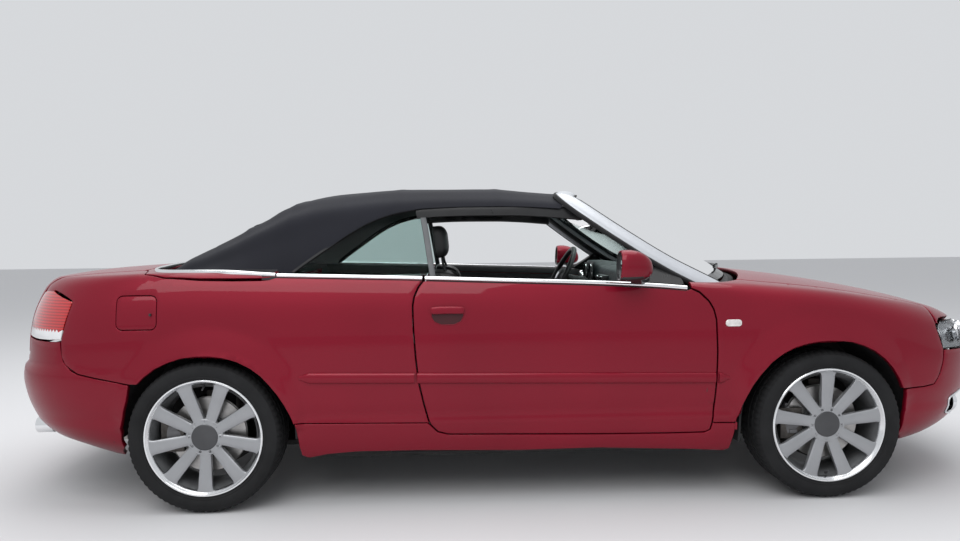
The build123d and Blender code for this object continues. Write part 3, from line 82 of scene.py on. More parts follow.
class Soup:
    """Collects vertices and faces of one piece, with a material for each face."""

    def __init__(self):
        self.p, self.f, self.m = [], [], []
        self.n = 0

    def add(self, points, faces, mat=0):
        points = np.asarray(points, float).reshape(-1, 3)
        self.p.append(points)
        self.f += [[i + self.n for i in face] for face in faces]
        self.m += [mat] * len(faces)
        self.n += len(points)
        return self

    def points(self):
        return np.concatenate(self.p)

    def moved(self, points):
        """The same faces over new points."""
        out = Soup()
        out.p, out.f, out.m, out.n = [points], [list(f) for f in self.f], list(self.m), self.n
        return out

    def mirrored(self):
        out = self.moved(self.points() * MIRROR_Y)
        out.f = [face[::-1] for face in out.f]
        return out

    def join(self, other):
        self.p += other.p
        self.f += [[i + self.n for i in face] for face in other.f]
        self.m += other.m
        self.n += other.n
        return self

    def build(self, name, mats, body, slot=None, replaces=(), angle=None):
        mesh = bpy.data.meshes.new(name)
        mesh.from_pydata(metres(self.points()).tolist(), [], self.f)
        for mat in mats:
            mesh.materials.append(mat)
        mesh.polygons.foreach_set("material_index", self.m)
        mesh.polygons.foreach_set("use_smooth", [True] * len(self.f))
        mesh.update()
        if angle:
            mesh.set_sharp_from_angle(angle=math.radians(angle))
        obj = bpy.data.objects.new(name, mesh)
        bpy.context.scene.collection.objects.link(obj)
        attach(obj, body)
        if replaces:
            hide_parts(*replaces)
        return obj


def pair(soup, name, mats, bodies, **more):
    """The same piece on the right and, mirrored, on the left."""
    replaces = more.pop("replaces", ())
    for side, body, piece in (("right", bodies[0], soup), ("left", bodies[1], soup.mirrored())):
        nodes = [n.replace("SIDE", side) for n in replaces]
        piece.build(f"{name}_{side}", mats, body, replaces=nodes, **more)


def ends_round(points, step=8.0, closed=True):
    """Even resampling of a line of points, straight between them."""
    points = np.asarray(points, float)
    if closed:
        points = np.vstack([points, points[:1]])
    run = np.concatenate([[0], np.cumsum(np.linalg.norm(np.diff(points, axis=0), axis=1))])
    count = max(int(run[-1] / step), 3)
    at = np.linspace(0, run[-1], count + 1)
    if closed:
        at = at[:-1]
    return np.column_stack([np.interp(at, run, points[:, k]) for k in range(points.shape[1])])


def belt_row(x, y, dz):
    """A line along the belt, dz above it."""
    return np.column_stack([x, y, [float(belt(at)) + dz for at in x]])


def fillet(points, radius):
    """A closed 2D outline with its corners rounded by arcs."""
    pts = [tuple(p) for p in points]
    out = []
    n = len(pts)
    for i, p in enumerate(pts):
        a, b, c = np.array(pts[i - 1]), np.array(p), np.array(pts[(i + 1) % n])
        u, v = unit(a - b), unit(c - b)
        half = math.acos(max(-1.0, min(1.0, float(u @ v)))) / 2
        if half > math.radians(88):
            out.append(p)
            continue
        cut = min(radius / math.tan(half), 0.48 * np.linalg.norm(a - b), 0.48 * np.linalg.norm(c - b))
        r = cut * math.tan(half)
        centre = b + unit(u + v) * (r / math.sin(half))
        start, end = b + u * cut - centre, b + v * cut - centre
        a0 = math.atan2(start[1], start[0])
        turn = (math.atan2(end[1], end[0]) - a0 + math.pi) % (2 * math.pi) - math.pi
        for k in range(7):
            q = a0 + turn * k / 6
            out.append((centre[0] + r * math.cos(q), centre[1] + r * math.sin(q)))
    return np.array(out, float)


def inside(points, ring):
    x, y = points[:, 0][:, None], points[:, 1][:, None]
    x0, y0 = ring[:, 0], ring[:, 1]
    x1, y1 = np.roll(x0, -1), np.roll(y0, -1)
    cross = (y0 > y) != (y1 > y)
    at = (x1 - x0) * (y - y0) / np.where(y1 == y0, 1e-9, y1 - y0) + x0
    return (np.sum(cross & (x < at), axis=1) % 2) == 1


def triangulate(rim, holes, spacing):
    """Triangles inside a 2D rim, with a regular inner grid: points, faces, and each loop's indices."""
    loops = [rim, *holes]
    lo, hi = rim.min(0), rim.max(0)
    rows = np.arange(lo[1] + spacing / 2, hi[1], spacing * 0.87)
    grid = [
        np.array([(x, y) for x in np.arange(lo[0] + (spacing / 2 if k % 2 else 0), hi[0], spacing)])
        for k, y in enumerate(rows)
    ]
    grid = np.vstack([g for g in grid if len(g)])
    keep = inside(grid, rim)
    for hole in holes:
        keep &= ~inside(grid, hole)
    grid = grid[keep]
    edge = np.vstack(loops)
    near = np.full(len(grid), 1e9)
    for part in np.array_split(edge, max(1, len(edge) // 200)):
        near = np.minimum(near, np.min(np.hypot(grid[:, :1] - part[:, 0], grid[:, 1:] - part[:, 1]), axis=1))
    grid = grid[near > spacing * 0.62]
    points = np.vstack([edge, grid])
    edges, spans, start = [], [], 0
    for loop in loops:
        n = len(loop)
        edges += [(start + i, start + (i + 1) % n) for i in range(n)]
        spans.append(np.arange(start, start + n))
        start += n
    found = geometry.delaunay_2d_cdt([Vector(p) for p in points], edges, [], 0, 1e-5, True)
    faces = []
    origin = [o[0] if o else -1 for o in found[3]]
    for face in found[2]:
        tri = [origin[i] for i in face]
        if -1 not in tri and len(set(tri)) == 3:
            faces.append(tri)
    faces = np.array(faces)
    centre = points[faces].mean(1)
    keep = inside(centre, rim)
    for hole in holes:
        keep &= ~inside(centre, hole)
    faces = faces[keep]
    a, b, c = points[faces[:, 0]], points[faces[:, 1]], points[faces[:, 2]]
    wrong = (b[:, 0] - a[:, 0]) * (c[:, 1] - a[:, 1]) - (b[:, 1] - a[:, 1]) * (c[:, 0] - a[:, 0]) < 0
    faces[wrong] = faces[wrong][:, ::-1]
    return points, faces, spans


# ---------- the body's form ----------
side_in = curve(
    (180, 78), (215, 52), (260, 36), (300, 27), (345, 21), (366, 18), (384, 22), (405, 21), (440, 15),
    (520, 8), (600, 4), (680, 4), (760, 7), (820, 11), (866, 17), (900, 24), (935, 33), (970, 43), (1010, 58),
    (1080, 100),
)
nose_in = curve(
    (180, 330), (215, 215), (250, 140), (290, 85), (340, 42), (400, 16), (470, 3), (540, 0), (600, 5),
    (660, 20), (720, 46), (780, 88), (840, 140), (900, 210), (980, 360), (1080, 620),
)
tail_in = curve(
    (180, 420), (210, 350), (258, 225), (307, 112), (348, 66), (398, 34), (473, 10), (539, 0), (585, 5),
    (597, 9), (609, 24), (640, 28), (718, 34), (780, 43), (822, 53), (880, 74), (927, 96), (1000, 140),
    (1080, 200),
)
z_side = curve(
    (-2380, 880), (-2154, 940), (-2007, 962), (-1880, 977), (-1690, 990), (-1560, 996), (-1300, 1000),
    (-916, 1000), (-417, 985), (-81, 974), (343, 957), (700, 931), (1000, 908), (1330, 876), (1700, 812),
    (1900, 764), (2050, 708), (2180, 640), (2300, 560),
)
z_mid = curve(
    (-2380, 905), (-2154, 984), (-2007, 1007), (-1880, 1016), (-1690, 1026), (-1560, 1030), (-916, 1014),
    (-81, 996), (343, 985), (700, 975), (980, 982), (1100, 970), (1330, 944), (1700, 884), (1900, 838),
    (2050, 786), (2150, 738), (2230, 680), (2300, 600),
)
round_edge = curve(
    (-2400, 46), (-1900, 40), (-1500, 30), (-900, 26), (700, 26), (1000, 52), (1700, 74), (2300, 60)
)
BASE = 876.5  # half the width over the flanks, without the flares
ARCH_SWELL = 20  # how far a flare stands out
ARCHES = ((1301.0, 312.0, 372.0), (-1301.0, 296.0, 368.0))


def flare(x, z):
    out = np.zeros_like(x)
    for ax, az, lip in ARCHES:
        r = np.hypot(x - ax, z - az)
        q = np.abs(np.arctan2(x - ax, z - az))
        wide = 128 * np.clip(np.cos(np.clip(q * 90 / 84, 0, math.pi / 2)), 0, 1) ** 0.62
        outer = lip + wide
        t = np.clip((outer - r) / np.maximum(wide, 20), 0, 1)
        soft = np.where(t < 0.12, t * t / 0.24, t - 0.06)
        out += ARCH_SWELL * soft * smooth(wide / 40) + 3 * smooth((lip + 9 - r) / 9) * smooth((q < 2.1) * 1.0)
    return out


def field(p):
    """Below nought inside the body, about the distance in mm near its skin."""
    x, y, z = p[..., 0], np.abs(p[..., 1]), p[..., 2]
    half = BASE - side_in(z)
    ahead = np.clip((x - (NOSE - nose_in(z) - 925)) / 925, 0, None)
    behind = np.clip(((TAIL + tail_in(z) + 993) - x) / 993, 0, None)
    flank = ((y / half) ** 2.2 + ahead ** 3.5 + behind**4.2 - 1) * 400 - flare(x, z)
    top = z - z_side(x) - (z_mid(x) - z_side(x)) * (1 - (y / 918) ** 2)
    k = round_edge(x)
    return np.minimum(-k, np.maximum(flank, top)) + np.hypot(np.maximum(flank + k, 0), np.maximum(top + k, 0))


def strike(origin, direction, reach=1800.0):
    lo, hi = np.zeros(len(origin)), np.full(len(origin), reach)
    for _ in range(34):
        mid = (lo + hi) / 2
        out = field(origin + direction * mid[:, None]) > 0
        hi, lo = np.where(out, mid, hi), np.where(out, lo, mid)
    return origin + direction * lo[:, None]


def normal(p):
    g = np.zeros_like(p)
    for k in range(3):
        e = np.zeros(3)
        e[k] = 0.8
        g[:, k] = field(p + e) - field(p - e)
    return unit(g)


ROUND = 900.0  # mm of panel coordinate for each radian round the flank


def place(kind, q):
    """Panel coordinates in mm to points on the skin. Right-hand side is negative Y."""
    a, b = q[:, 0], q[:, 1]
    zero = np.zeros_like(a)
    if kind == "side":
        o = np.column_stack([a, zero, zero + 300])
        d = np.column_stack([zero, -np.cos(b / ROUND), np.sin(b / ROUND)])
    elif kind == "top":
        o = np.column_stack([a, -b, zero + 500])
        d = np.column_stack([zero, zero, zero + 1])
    elif kind == "nose":
        o = np.column_stack([zero + 900, zero, b])
        d = np.column_stack([np.cos(a / 1000), -np.sin(a / 1000), zero])
    elif kind == "tail":
        o = np.column_stack([zero - 900, zero, b])
        d = np.column_stack([-np.cos(a / 1000), -np.sin(a / 1000), zero])
    else:
        o = np.column_stack([zero - 1750, -a, zero + 650])
        d = np.column_stack([-np.sin(b / 500), zero, np.cos(b / 500)])
    return strike(o, d)


def unplace(kind, p):
    x, y, z = p.T
    if kind == "side":
        return np.column_stack([x, np.arctan2(z - 300, -y) * ROUND])
    if kind == "top":
        return np.column_stack([x, -y])
    if kind == "nose":
        return np.column_stack([np.arctan2(-y, x - 900) * 1000, z])
    if kind == "tail":
        return np.column_stack([np.arctan2(-y, -900 - x) * 1000, z])
    return np.column_stack([-y, np.arctan2(-1750 - x, z - 650) * 500])


def seen(view, points):
    """Points given in a side view (x, z) or plan (x, y) or end view (y, z), set on the right-hand skin."""
    points = np.asarray(points, float)[:, :2]
    a, b = points.T
    zero = np.zeros_like(a)
    if view == "xz":
        return strike(np.column_stack([a, zero, b]), np.column_stack([zero, zero - 1, zero]))
    if view == "xy":
        return strike(np.column_stack([a, -b, zero + 500]), np.column_stack([zero, zero, zero + 1]))
    sign = 1 if view == "front" else -1
    return strike(np.column_stack([zero + sign * 900, -a, b]), np.column_stack([zero + sign, zero, zero]))


def offset2(ring, amount):
    """Moves a closed 2D ring inwards; the ring runs anticlockwise."""
    t = unit(np.roll(ring, -1, 0) - np.roll(ring, 1, 0))
    n = np.column_stack([-t[:, 1], t[:, 0]])
    return ring + n * amount


def turn_left(ring):
    x, y = ring.T
    area = np.sum(x * np.roll(y, -1) - np.roll(x, -1) * y)
    return ring if area > 0 else ring[::-1]


def shell(surface, rim, holes=(), gap=5.0, roll=2.5, depth=14.0, spacing=18.0, lift=0.0, back=True, step=8.0):
    """A sheet-metal panel: its skin, rolled edges, flange and inner skin.
    surface(q) gives points and outward normals for panel coordinates."""
    rings = [offset2(ends_round(turn_left(rim), step), gap / 2 + roll)]
    rings += [offset2(ends_round(turn_left(h), step), -roll)[::-1] for h in holes]
    pts, faces, spans = triangulate(rings[0], rings[1:], spacing)
    p, n = surface(pts)
    p = p + n * lift
    tri = p[faces]
    face_n = np.cross(tri[:, 1] - tri[:, 0], tri[:, 2] - tri[:, 0])
    if np.sum(face_n * n[faces[:, 0]]) < 0:
        faces = faces[:, ::-1]
        flip = True
    else:
        flip = False
    soup = Soup()
    verts, quads = [p], []
    count = len(p)
    for loop in spans:
        b, bn = p[loop], n[loop]
        t = unit(np.roll(b, -1, 0) - np.roll(b, 1, 0))
        out = np.cross(t, bn) * (-1 if flip else 1)
        last = loop
        rows = [(roll * math.sin(q), -roll * (1 - math.cos(q))) for q in (0.5, 1.05, math.pi / 2)]
        rows.append((roll, -roll - depth))
        if back:
            rows.append((-2.0, -roll - depth))
        for along, down in rows:
            ring = np.arange(count, count + len(loop))
            verts.append(b + out * along + bn * down)
            count += len(loop)
            for i in range(len(loop)):
                j = (i + 1) % len(loop)
                quad = [last[i], ring[i], ring[j], last[j]]
                quads.append(quad[::-1] if flip else quad)
            last = ring
    everything = [list(f) for f in faces] + [list(map(int, q)) for q in quads]
    soup.add(np.vstack(verts), everything)
    if back:
        soup.add(p - n * (roll + depth), [list(f[::-1]) for f in faces])
    return soup


def skin(kind):
    def surface(q):
        p = place(kind, q)
        return p, normal(p)

    return surface


def sunk(surface, depth):
    """The points of a surface pushed in along its normals."""

    def pushed(q):
        p, n = surface(q)
        return p - n * depth

    return pushed


def lay(kind, view, *points):
    return unplace(kind, seen(view, points))


def track(*pieces):
    return np.vstack([np.asarray(p, float).reshape(-1, 2) for p in pieces])


# ---------- shut lines, seen from the side ----------
belt = curve(
    (-1500, 1020), (-1371, 1012), (-1150, 1006), (-916, 999), (-417, 983), (-81, 970), (343, 953), (600, 937),
    (720, 926), (790, 921),
)
STRIP = 17.0  # height of the bright belt strip
DOOR_FRONT_CUT = [
    (824, 336), (827, 368), (837, 486), (842, 644), (838, 781), (828, 824), (809, 859), (769, 899),
    (735, 915),
]
DOOR_REAR_CUT = [
    (-386, 361), (-393, 381), (-408, 439), (-429, 537), (-440, 640), (-448, 763), (-450, 859), (-443, 897),
    (-426, 935), (-404, 964),
]
DOOR_LOW_CUT = [(-378, 348), (-352, 321), (-307, 309), (336, 296), (631, 293), (790, 294), (815, 304)]
FRONT_ARCH = [
    (926, 300), (929, 349), (942, 398), (964, 447), (990, 497), (1023, 543), (1068, 594), (1122, 635),
    (1170, 659), (1221, 673), (1270, 681), (1320, 684), (1370, 681), (1420, 674), (1472, 657), (1520, 633),
    (1563, 600), (1601, 558), (1630, 514), (1652, 468),
]
REAR_ARCH = [
    (-1634, 482), (-1610, 520), (-1588, 549), (-1561, 577), (-1513, 613), (-1461, 637), (-1405, 655),
    (-1348, 663), (-1292, 663), (-1235, 655), (-1176, 636), (-1123, 608), (-1082, 576), (-1048, 537),
    (-1016, 495), (-989, 450), (-968, 405), (-953, 368),
]
TONNEAU_CUT = [
    (-1022, 985), (-1050, 977), (-1082, 974), (-1200, 974), (-1340, 978), (-1487, 988), (-1574, 1003)
]


def along(f, x0, x1, dz, count):
    return [(x, float(f(x)) + dz) for x in np.linspace(x0, x1, count)]


# ---------- materials ----------
def material(name):
    mat = bpy.data.materials.new(name)
    mat.use_nodes = True
    tree = mat.node_tree
    return mat, tree, tree.nodes["Principled BSDF"]


def node(tree, kind, **values):
    made = tree.nodes.new(kind)
    for key, value in values.items():
        if key in made.inputs:
            made.inputs[key].default_value = value
        else:
            setattr(made, key, value)
    return made


def noise(tree, scale, detail=3.0, rough=0.55):
    coord = node(tree, "ShaderNodeTexCoord")
    mapping = node(tree, "ShaderNodeMapping")
    tex = node(tree, "ShaderNodeTexNoise", Scale=scale, Detail=detail, Roughness=rough)
    tree.links.new(coord.outputs["Object"], mapping.inputs["Vector"])
    tree.links.new(mapping.outputs["Vector"], tex.inputs["Vector"])
    return tex


def mapped(tree, tex):
    """Lays a texture by the object's own coordinates."""
    coord = node(tree, "ShaderNodeTexCoord")
    tree.links.new(coord.outputs["Object"], tex.inputs["Vector"])


def ramp(tree, source, *stops):
    made = node(tree, "ShaderNodeValToRGB")
    points = made.color_ramp.elements
    while len(points) < len(stops):
        points.new(0.5)
    for point, (at, colour) in zip(points, stops):
        point.position = at
        point.color = colour if len(colour) == 4 else (*colour, 1)
    tree.links.new(source, made.inputs["Fac"])
    return made.outputs["Color"]


def ramped(tree, source, low, high, socket):
    """Drives a socket from a texture's strength, between two stops."""
    tree.links.new(ramp(tree, source.outputs["Fac"], low, high), socket)


def bump(tree, shader, source, strength, distance):
    made = node(tree, "ShaderNodeBump", Strength=strength, Distance=distance)
    tree.links.new(source, made.inputs["Height"])
    tree.links.new(made.outputs["Normal"], shader.inputs["Normal"])
    return made


def shade(a, k):
    return tuple(min(1.0, c * k) for c in a)


def simple(
    name, colour, rough, metallic=0.0, vary=0.12, scale=9.0, grain=0.0, grain_scale=900.0, rough_vary=0.08,
    **more,
):
    """A finish with soft patches in colour and roughness and an optional fine grain."""
    mat, tree, s = material(name)
    patches = noise(tree, scale)
    ramped(
        tree, patches, (0.3, shade(colour, 1 - vary)), (0.7, shade(colour, 1 + vary)), s.inputs["Base Color"]
    )
    fine = noise(tree, scale * 3.1, 4.0)
    low, high = max(rough - rough_vary, 0.02), min(rough + rough_vary, 1.0)
    ramped(tree, fine, (0.3, (low,) * 3), (0.7, (high,) * 3), s.inputs["Roughness"])
    s.inputs["Metallic"].default_value = metallic
    for key, value in more.items():
        s.inputs[key.replace("_", " ")].default_value = value
    if grain:
        pits = noise(tree, grain_scale, 2.0)
        bump(tree, s, pits.outputs["Fac"], grain, 0.0006)
    return mat


def paint(name, colour):
    """Metallic red: flakes under a clear coat, a little orange peel, soft patches in tone."""
    mat, tree, s = material(name)
    flakes = node(tree, "ShaderNodeTexVoronoi", Scale=1600.0)
    mapped(tree, flakes)
    drift = noise(tree, 1.6, 2.0)
    body = ramp(tree, drift.outputs["Fac"], (0.3, shade(colour, 0.93)), (0.7, shade(colour, 1.07)))
    sparkle = ramp(tree, flakes.outputs["Color"], (0.0, (0.86, 0.86, 0.86)), (1.0, (1.16, 1.16, 1.16)))
    mix = node(tree, "ShaderNodeMix", data_type="RGBA", blend_type="MULTIPLY")
    mix.inputs["Factor"].default_value = 0.8
    tree.links.new(body, mix.inputs["A"])
    tree.links.new(sparkle, mix.inputs["B"])
    tree.links.new(mix.outputs["Result"], s.inputs["Base Color"])
    peel = noise(tree, 260.0, 1.0)
    ramped(tree, peel, (0.3, (0.36,) * 3), (0.7, (0.44,) * 3), s.inputs["Roughness"])
    bump(tree, s, peel.outputs["Fac"], 0.012, 0.0005)
    s.inputs["Metallic"].default_value = 0.35
    s.inputs["Coat Weight"].default_value = 0.4
    s.inputs["Coat Roughness"].default_value = 0.03
    s.inputs["Specular IOR Level"].default_value = 0.15
    return mat


RED = (0.20, 0.0018, 0.0145)
PAINT = paint("red_metallic_paint", RED)
INNER_PAINT = simple("painted_inner_steel", (0.13, 0.010, 0.016), 0.45, 0.1, grain=0.05)
GAP_BLACK = simple("black_seal_rubber", (0.012, 0.012, 0.013), 0.72, grain=0.15)
TRIM_BLACK = simple("satin_black_trim", (0.017, 0.017, 0.018), 0.34, vary=0.2, grain=0.04)
GRAINED_BLACK = simple(
    "grained_black_plastic", (0.026, 0.026, 0.028), 0.62, vary=0.2, grain=0.4, grain_scale=700
)
CHROME = simple("polished_bright_metal", (0.86, 0.87, 0.88), 0.1, 1.0, vary=0.02, rough_vary=0.04)
SATIN = simple("satin_aluminium", (0.70, 0.71, 0.73), 0.27, 1.0, vary=0.03, rough_vary=0.05)

BODY_DOORS = ("door_right", "door_left")
TWICE = ("body", "body")
side = skin("side")


# ---------- more shape tools ----------
def loft(rings, closed=True, cap=(False, False), mat=0):
    """A skin through rings of equal count; the ends may be closed by fans."""
    soup = Soup()
    rings = [np.asarray(r, float) for r in rings]
    n = len(rings[0])
    last = n if closed else n - 1
    faces = [
        (k * n + i, k * n + (i + 1) % n, (k + 1) * n + (i + 1) % n, (k + 1) * n + i)
        for k in range(len(rings) - 1)
        for i in range(last)
    ]
    points = list(np.vstack(rings))
    for end, ring, base in ((0, rings[0], 0), (1, rings[-1], (len(rings) - 1) * n)):
        if cap[end]:
            points.append(ring.mean(0))
            mid = len(points) - 1
            for i in range(n):
                tri = (mid, base + (i + 1) % n, base + i)
                faces.append(tri if end == 0 else tri[::-1])
    return soup.add(points, faces, mat)


def frames(path, up):
    path = np.asarray(path, float)
    t = unit(np.gradient(path, axis=0))
    up = np.broadcast_to(np.asarray(up, float), path.shape)
    side_ = unit(np.cross(t, up))
    return t, side_, unit(np.cross(side_, t))


def sweep(path, profile, up=(0, 0, 1), scale=None, closed=False, mat=0):
    """A (sideways, upwards) profile carried along a 3D path."""
    path = np.asarray(path, float)
    t, s_, u = frames(path, up)
    if closed:
        t = unit(np.roll(path, -1, 0) - np.roll(path, 1, 0))
        s_ = unit(np.cross(t, np.broadcast_to(np.asarray(up, float), path.shape)))
        u = unit(np.cross(s_, t))
    profile = np.asarray(profile, float)
    k = np.ones(len(path)) if scale is None else np.asarray(scale, float)
    rings = [p + k[i] * (profile[:, :1] * s_[i] + profile[:, 1:] * u[i]) for i, p in enumerate(path)]
    if closed:
        rings.append(rings[0])
    return loft(rings, cap=(not closed, not closed), mat=mat)


def circle(radius, count=16):
    q = np.linspace(0, 2 * math.pi, count, endpoint=False)
    return np.column_stack([radius * np.cos(q), radius * np.sin(q)])


def tube(path, radius, sides=12, up=(0, 0, 1), closed=False, mat=0):
    return sweep(path, circle(radius, sides), up, closed=closed, mat=mat)


def rounded(width, height, r, steps=4):
    """A rounded rectangle about nought."""
    w, h = width / 2, height / 2
    corners = [(w, -h), (w, h), (-w, h), (-w, -h)]
    out = []
    for i, (x, y) in enumerate(corners):
        cx, cy = x - math.copysign(r, x), y - math.copysign(r, y)
        for k in range(steps + 1):
            q = -math.pi / 2 + i * math.pi / 2 + k / steps * math.pi / 2
            out.append((cx + r * math.cos(q), cy + r * math.sin(q)))
    return np.array(out)


def lathe(profile, centre, axis="y", count=64, mat=0):
    """Turns an open line of (radius, along) points about an axis through centre."""
    profile = np.asarray(profile, float)
    rings = []
    for a in np.linspace(0, 2 * math.pi, count, endpoint=False):
        c, s_ = np.cos(a) * profile[:, 0], np.sin(a) * profile[:, 0]
        along = profile[:, 1]
        ring = {"x": (along, c, s_), "y": (s_, along, c), "z": (c, s_, along)}[axis]
        rings.append(np.column_stack(ring) + centre)
    rings.append(rings[0])
    return loft(rings, closed=False, mat=mat)


def block(lo, hi, r=6.0, cuts=4, mat=0):
    """A box with rounded edges."""
    lo, hi = np.asarray(lo, float), np.asarray(hi, float)
    mid, half = (lo + hi) / 2, (hi - lo) / 2
    r = min(r, half.min() * 0.98)
    soup = Soup()
    line = np.linspace(-1, 1, cuts * 2 + 1)
    for axis in range(3):
        for sign in (-1, 1):
            a, b = [k for k in range(3) if k != axis]
            u, v = np.meshgrid(line, line, indexing="ij")
            pts = np.zeros((u.size, 3))
            pts[:, axis] = sign
            pts[:, a], pts[:, b] = u.ravel(), v.ravel()
            inner = half - r
            core = np.clip(pts * half, -inner, inner)
            # what lies past the core is drawn onto the rounding
            d = np.where(np.abs(pts) > 0.999, pts * r, pts * half - core)
            length = np.linalg.norm(d, axis=1, keepdims=True)
            pts = mid + core + d / np.where(length > 0, length, 1) * r
            n = len(line)
            faces = [
                (i * n + j, (i + 1) * n + j, (i + 1) * n + j + 1, i * n + j + 1)
                for i in range(n - 1) for j in range(n - 1)
            ]
            if (sign > 0) == (axis == 1):
                faces = [f[::-1] for f in faces]
            soup.add(pts, faces, mat)
    return soup


def patch(rim, surface, spacing=20.0, step=8.0, mat=0):
    """An open sheet over a 2D rim; surface maps 2D points to 3D."""
    ring = ends_round(turn_left(rim), step)
    pts, faces, _ = triangulate(ring, [], spacing)
    p = surface(pts)
    return Soup().add(p, [list(f) for f in faces], mat)


def turned(soup, q, centre):
    """The piece turned about an axis along y through centre."""
    turn = np.array([(math.cos(q), 0, -math.sin(q)), (0, 1, 0), (math.sin(q), 0, math.cos(q))])
    return soup.moved((soup.points() - centre) @ turn + centre)


def shifted(soup, by):
    return soup.moved(soup.points() + by)


def across(line):
    """A line from the right to the middle of the car, carried on to the left."""
    return np.vstack([line, (line * MIRROR_Y)[-2::-1]])


# ---------- outer panels ----------
def painted(soup, name, body, node):
    soup.build(name, [PAINT], body, slot="paint", replaces=(node,))


door_rim = track(
    lay("side", "xz", *DOOR_FRONT_CUT),
    lay("side", "xz", *along(belt, 712, -396, -STRIP, 40)),
    lay("side", "xz", *DOOR_REAR_CUT[::-1]),
    lay("side", "xz", *DOOR_LOW_CUT),
)
pair(
    shell(side, door_rim, gap=7.5, depth=16), "door_skin", [PAINT], BODY_DOORS, slot="paint",
    replaces=("door_SIDE",),
)

PILLAR_FOOT = [(735, 800), (800, 792), (867, 779), (925, 748), (978, 702)]
BONNET_LINE = [(990, 699), (1150, 702), (1300, 703), (1450, 703), (1600, 700), (1750, 695), (1840, 691)]
wing_rim = track(
    lay("side", "xz", *DOOR_FRONT_CUT),
    lay("side", "xy", *PILLAR_FOOT),
    lay("side", "xy", *BONNET_LINE),
    lay(
        "side", "xz", (1835, 727), (1846, 690), (1868, 627), (1862, 575), (1850, 535), (1838, 505),
        (1816, 477), (1760, 470),
    ),
    lay("side", "xz", *FRONT_ARCH[::-1], (926, 334)),
)
pair(shell(side, wing_rim, depth=15), "front_wing", [PAINT], TWICE, slot="paint", replaces=("front_wings",))

FLAP_RING = fillet([(-1675, 774), (-1506, 774), (-1506, 917), (-1675, 917)], 26)
flap_rim = lay("side", "xz", *FLAP_RING)
quarter_rim = track(
    lay("side", "xz", *DOOR_REAR_CUT),
    lay("side", "xz", *along(belt, -412, -1022, -STRIP, 24)),
    lay("side", "xz", *TONNEAU_CUT[1:]),
    lay("side", "xy", (-1618, 640), (-1642, 606), (-1800, 606), (-1950, 606), (-2060, 606)),
    lay("side", "xy", (-2085, 640), (-2075, 700)),
    lay("side", "xz", (-1998, 934), (-1877, 891), (-1890, 850), (-1912, 780), (-1926, 728), (-1922, 660)),
    lay("side", "xz", (-1905, 628), (-1879, 611), (-1842, 592), (-1768, 576), (-1656, 554), (-1622, 549)),
    lay("side", "xz", *REAR_ARCH[2:], (-950, 372)),
)
painted(shell(side, quarter_rim, [flap_rim], depth=15), "rear_quarter_right", "body", "rear_quarters")
painted(shell(side, quarter_rim, depth=15).mirrored(), "rear_quarter_left", "body", "rear_quarters")

sill_rim = track(
    lay(
        "side", "xz", (-950, 372), (-392, 361), (-378, 348), (-352, 321), (-307, 309), (336, 296), (631, 293),
        (790, 294),
    ),
    lay("side", "xz", (815, 304), (824, 336), (926, 334), (924, 289), (908, 212), (880, 203), (748, 213)),
    lay("side", "xz", (335, 231), (-5, 227), (-437, 237), (-693, 238), (-821, 228), (-900, 212), (-930, 226)),
)
pair(shell(side, sill_rim, depth=15), "sill", [PAINT], TWICE, slot="paint", replaces=("sills",))


def whole(half, flip_index):
    """A rim across the car from its right-hand half, which starts and ends on the middle line."""
    half = np.asarray(half, float)
    other = half.copy()
    other[:, flip_index] *= -1
    return np.vstack([half, other[::-1]])


BONNET_REAR_EDGE = [(980 + 170 * (1 - (y / 698) ** 2), y) for y in np.linspace(0, 697, 24)]
GRILLE_SIDE = [(335, 600), (338, 650), (366, 696), (392, 718)]
LAMP_TOP = [(700, 751), (620, 745), (520, 735), (435, 722), (402, 700)]
LAMP_LOW = [(395, 668), (420, 640), (480, 626), (560, 620), (640, 619), (715, 621)]
bonnet_rim = whole(
    track(
        lay("top", "xy", *BONNET_REAR_EDGE, *BONNET_LINE),
        lay("top", "xz", (1846, 732), (1880, 757)),
        lay(
            "top", "front", (690, 757), (620, 751), (520, 741), (440, 729), (392, 718), (366, 696), (340, 656)
        ),
        lay("top", "front", (300, 653), (150, 652), (0, 652)),
    ),
    1,
)
painted(shell(skin("top"), bonnet_rim, depth=15, spacing=26), "bonnet_skin", "bonnet", "bonnet")

lamp_rim = track(
    lay("nose", "xz", (1844, 712), (1852, 738), (1880, 753)),
    lay("nose", "front", *LAMP_TOP, *LAMP_LOW),
    lay("nose", "xz", (1927, 624), (1872, 627)),
)
WING_FRONT = [(1866, 600), (1862, 575), (1850, 535), (1838, 505), (1816, 477), (1760, 470), (1668, 466)]
INTAKE = fillet([(415, 300), (650, 305), (745, 330), (760, 410), (700, 432), (425, 432)], 22)
bumper_rim = whole(
    track(
        lay(
            "nose", "front", (0, 258), (290, 258), (322, 288), (330, 400), *GRILLE_SIDE, *LAMP_TOP[-1:],
            *LAMP_LOW,
        ),
        lay("nose", "xz", (1927, 624), (1872, 627), *WING_FRONT),
        lay("nose", "xz", (1673, 383), (1668, 300), (1660, 262), (1692, 216), (1760, 224), (1827, 236)),
        lay("nose", "front", (690, 232), (600, 226), (450, 222), (300, 219), (0, 217)),
    ),
    0,
)
intake = lay("nose", "front", *INTAKE)
intakes = [intake, intake * (-1, 1)]
painted(
    shell(skin("nose"), bumper_rim, intakes, depth=15, spacing=22), "front_bumper_skin", "body",
    "front_bumper",
)

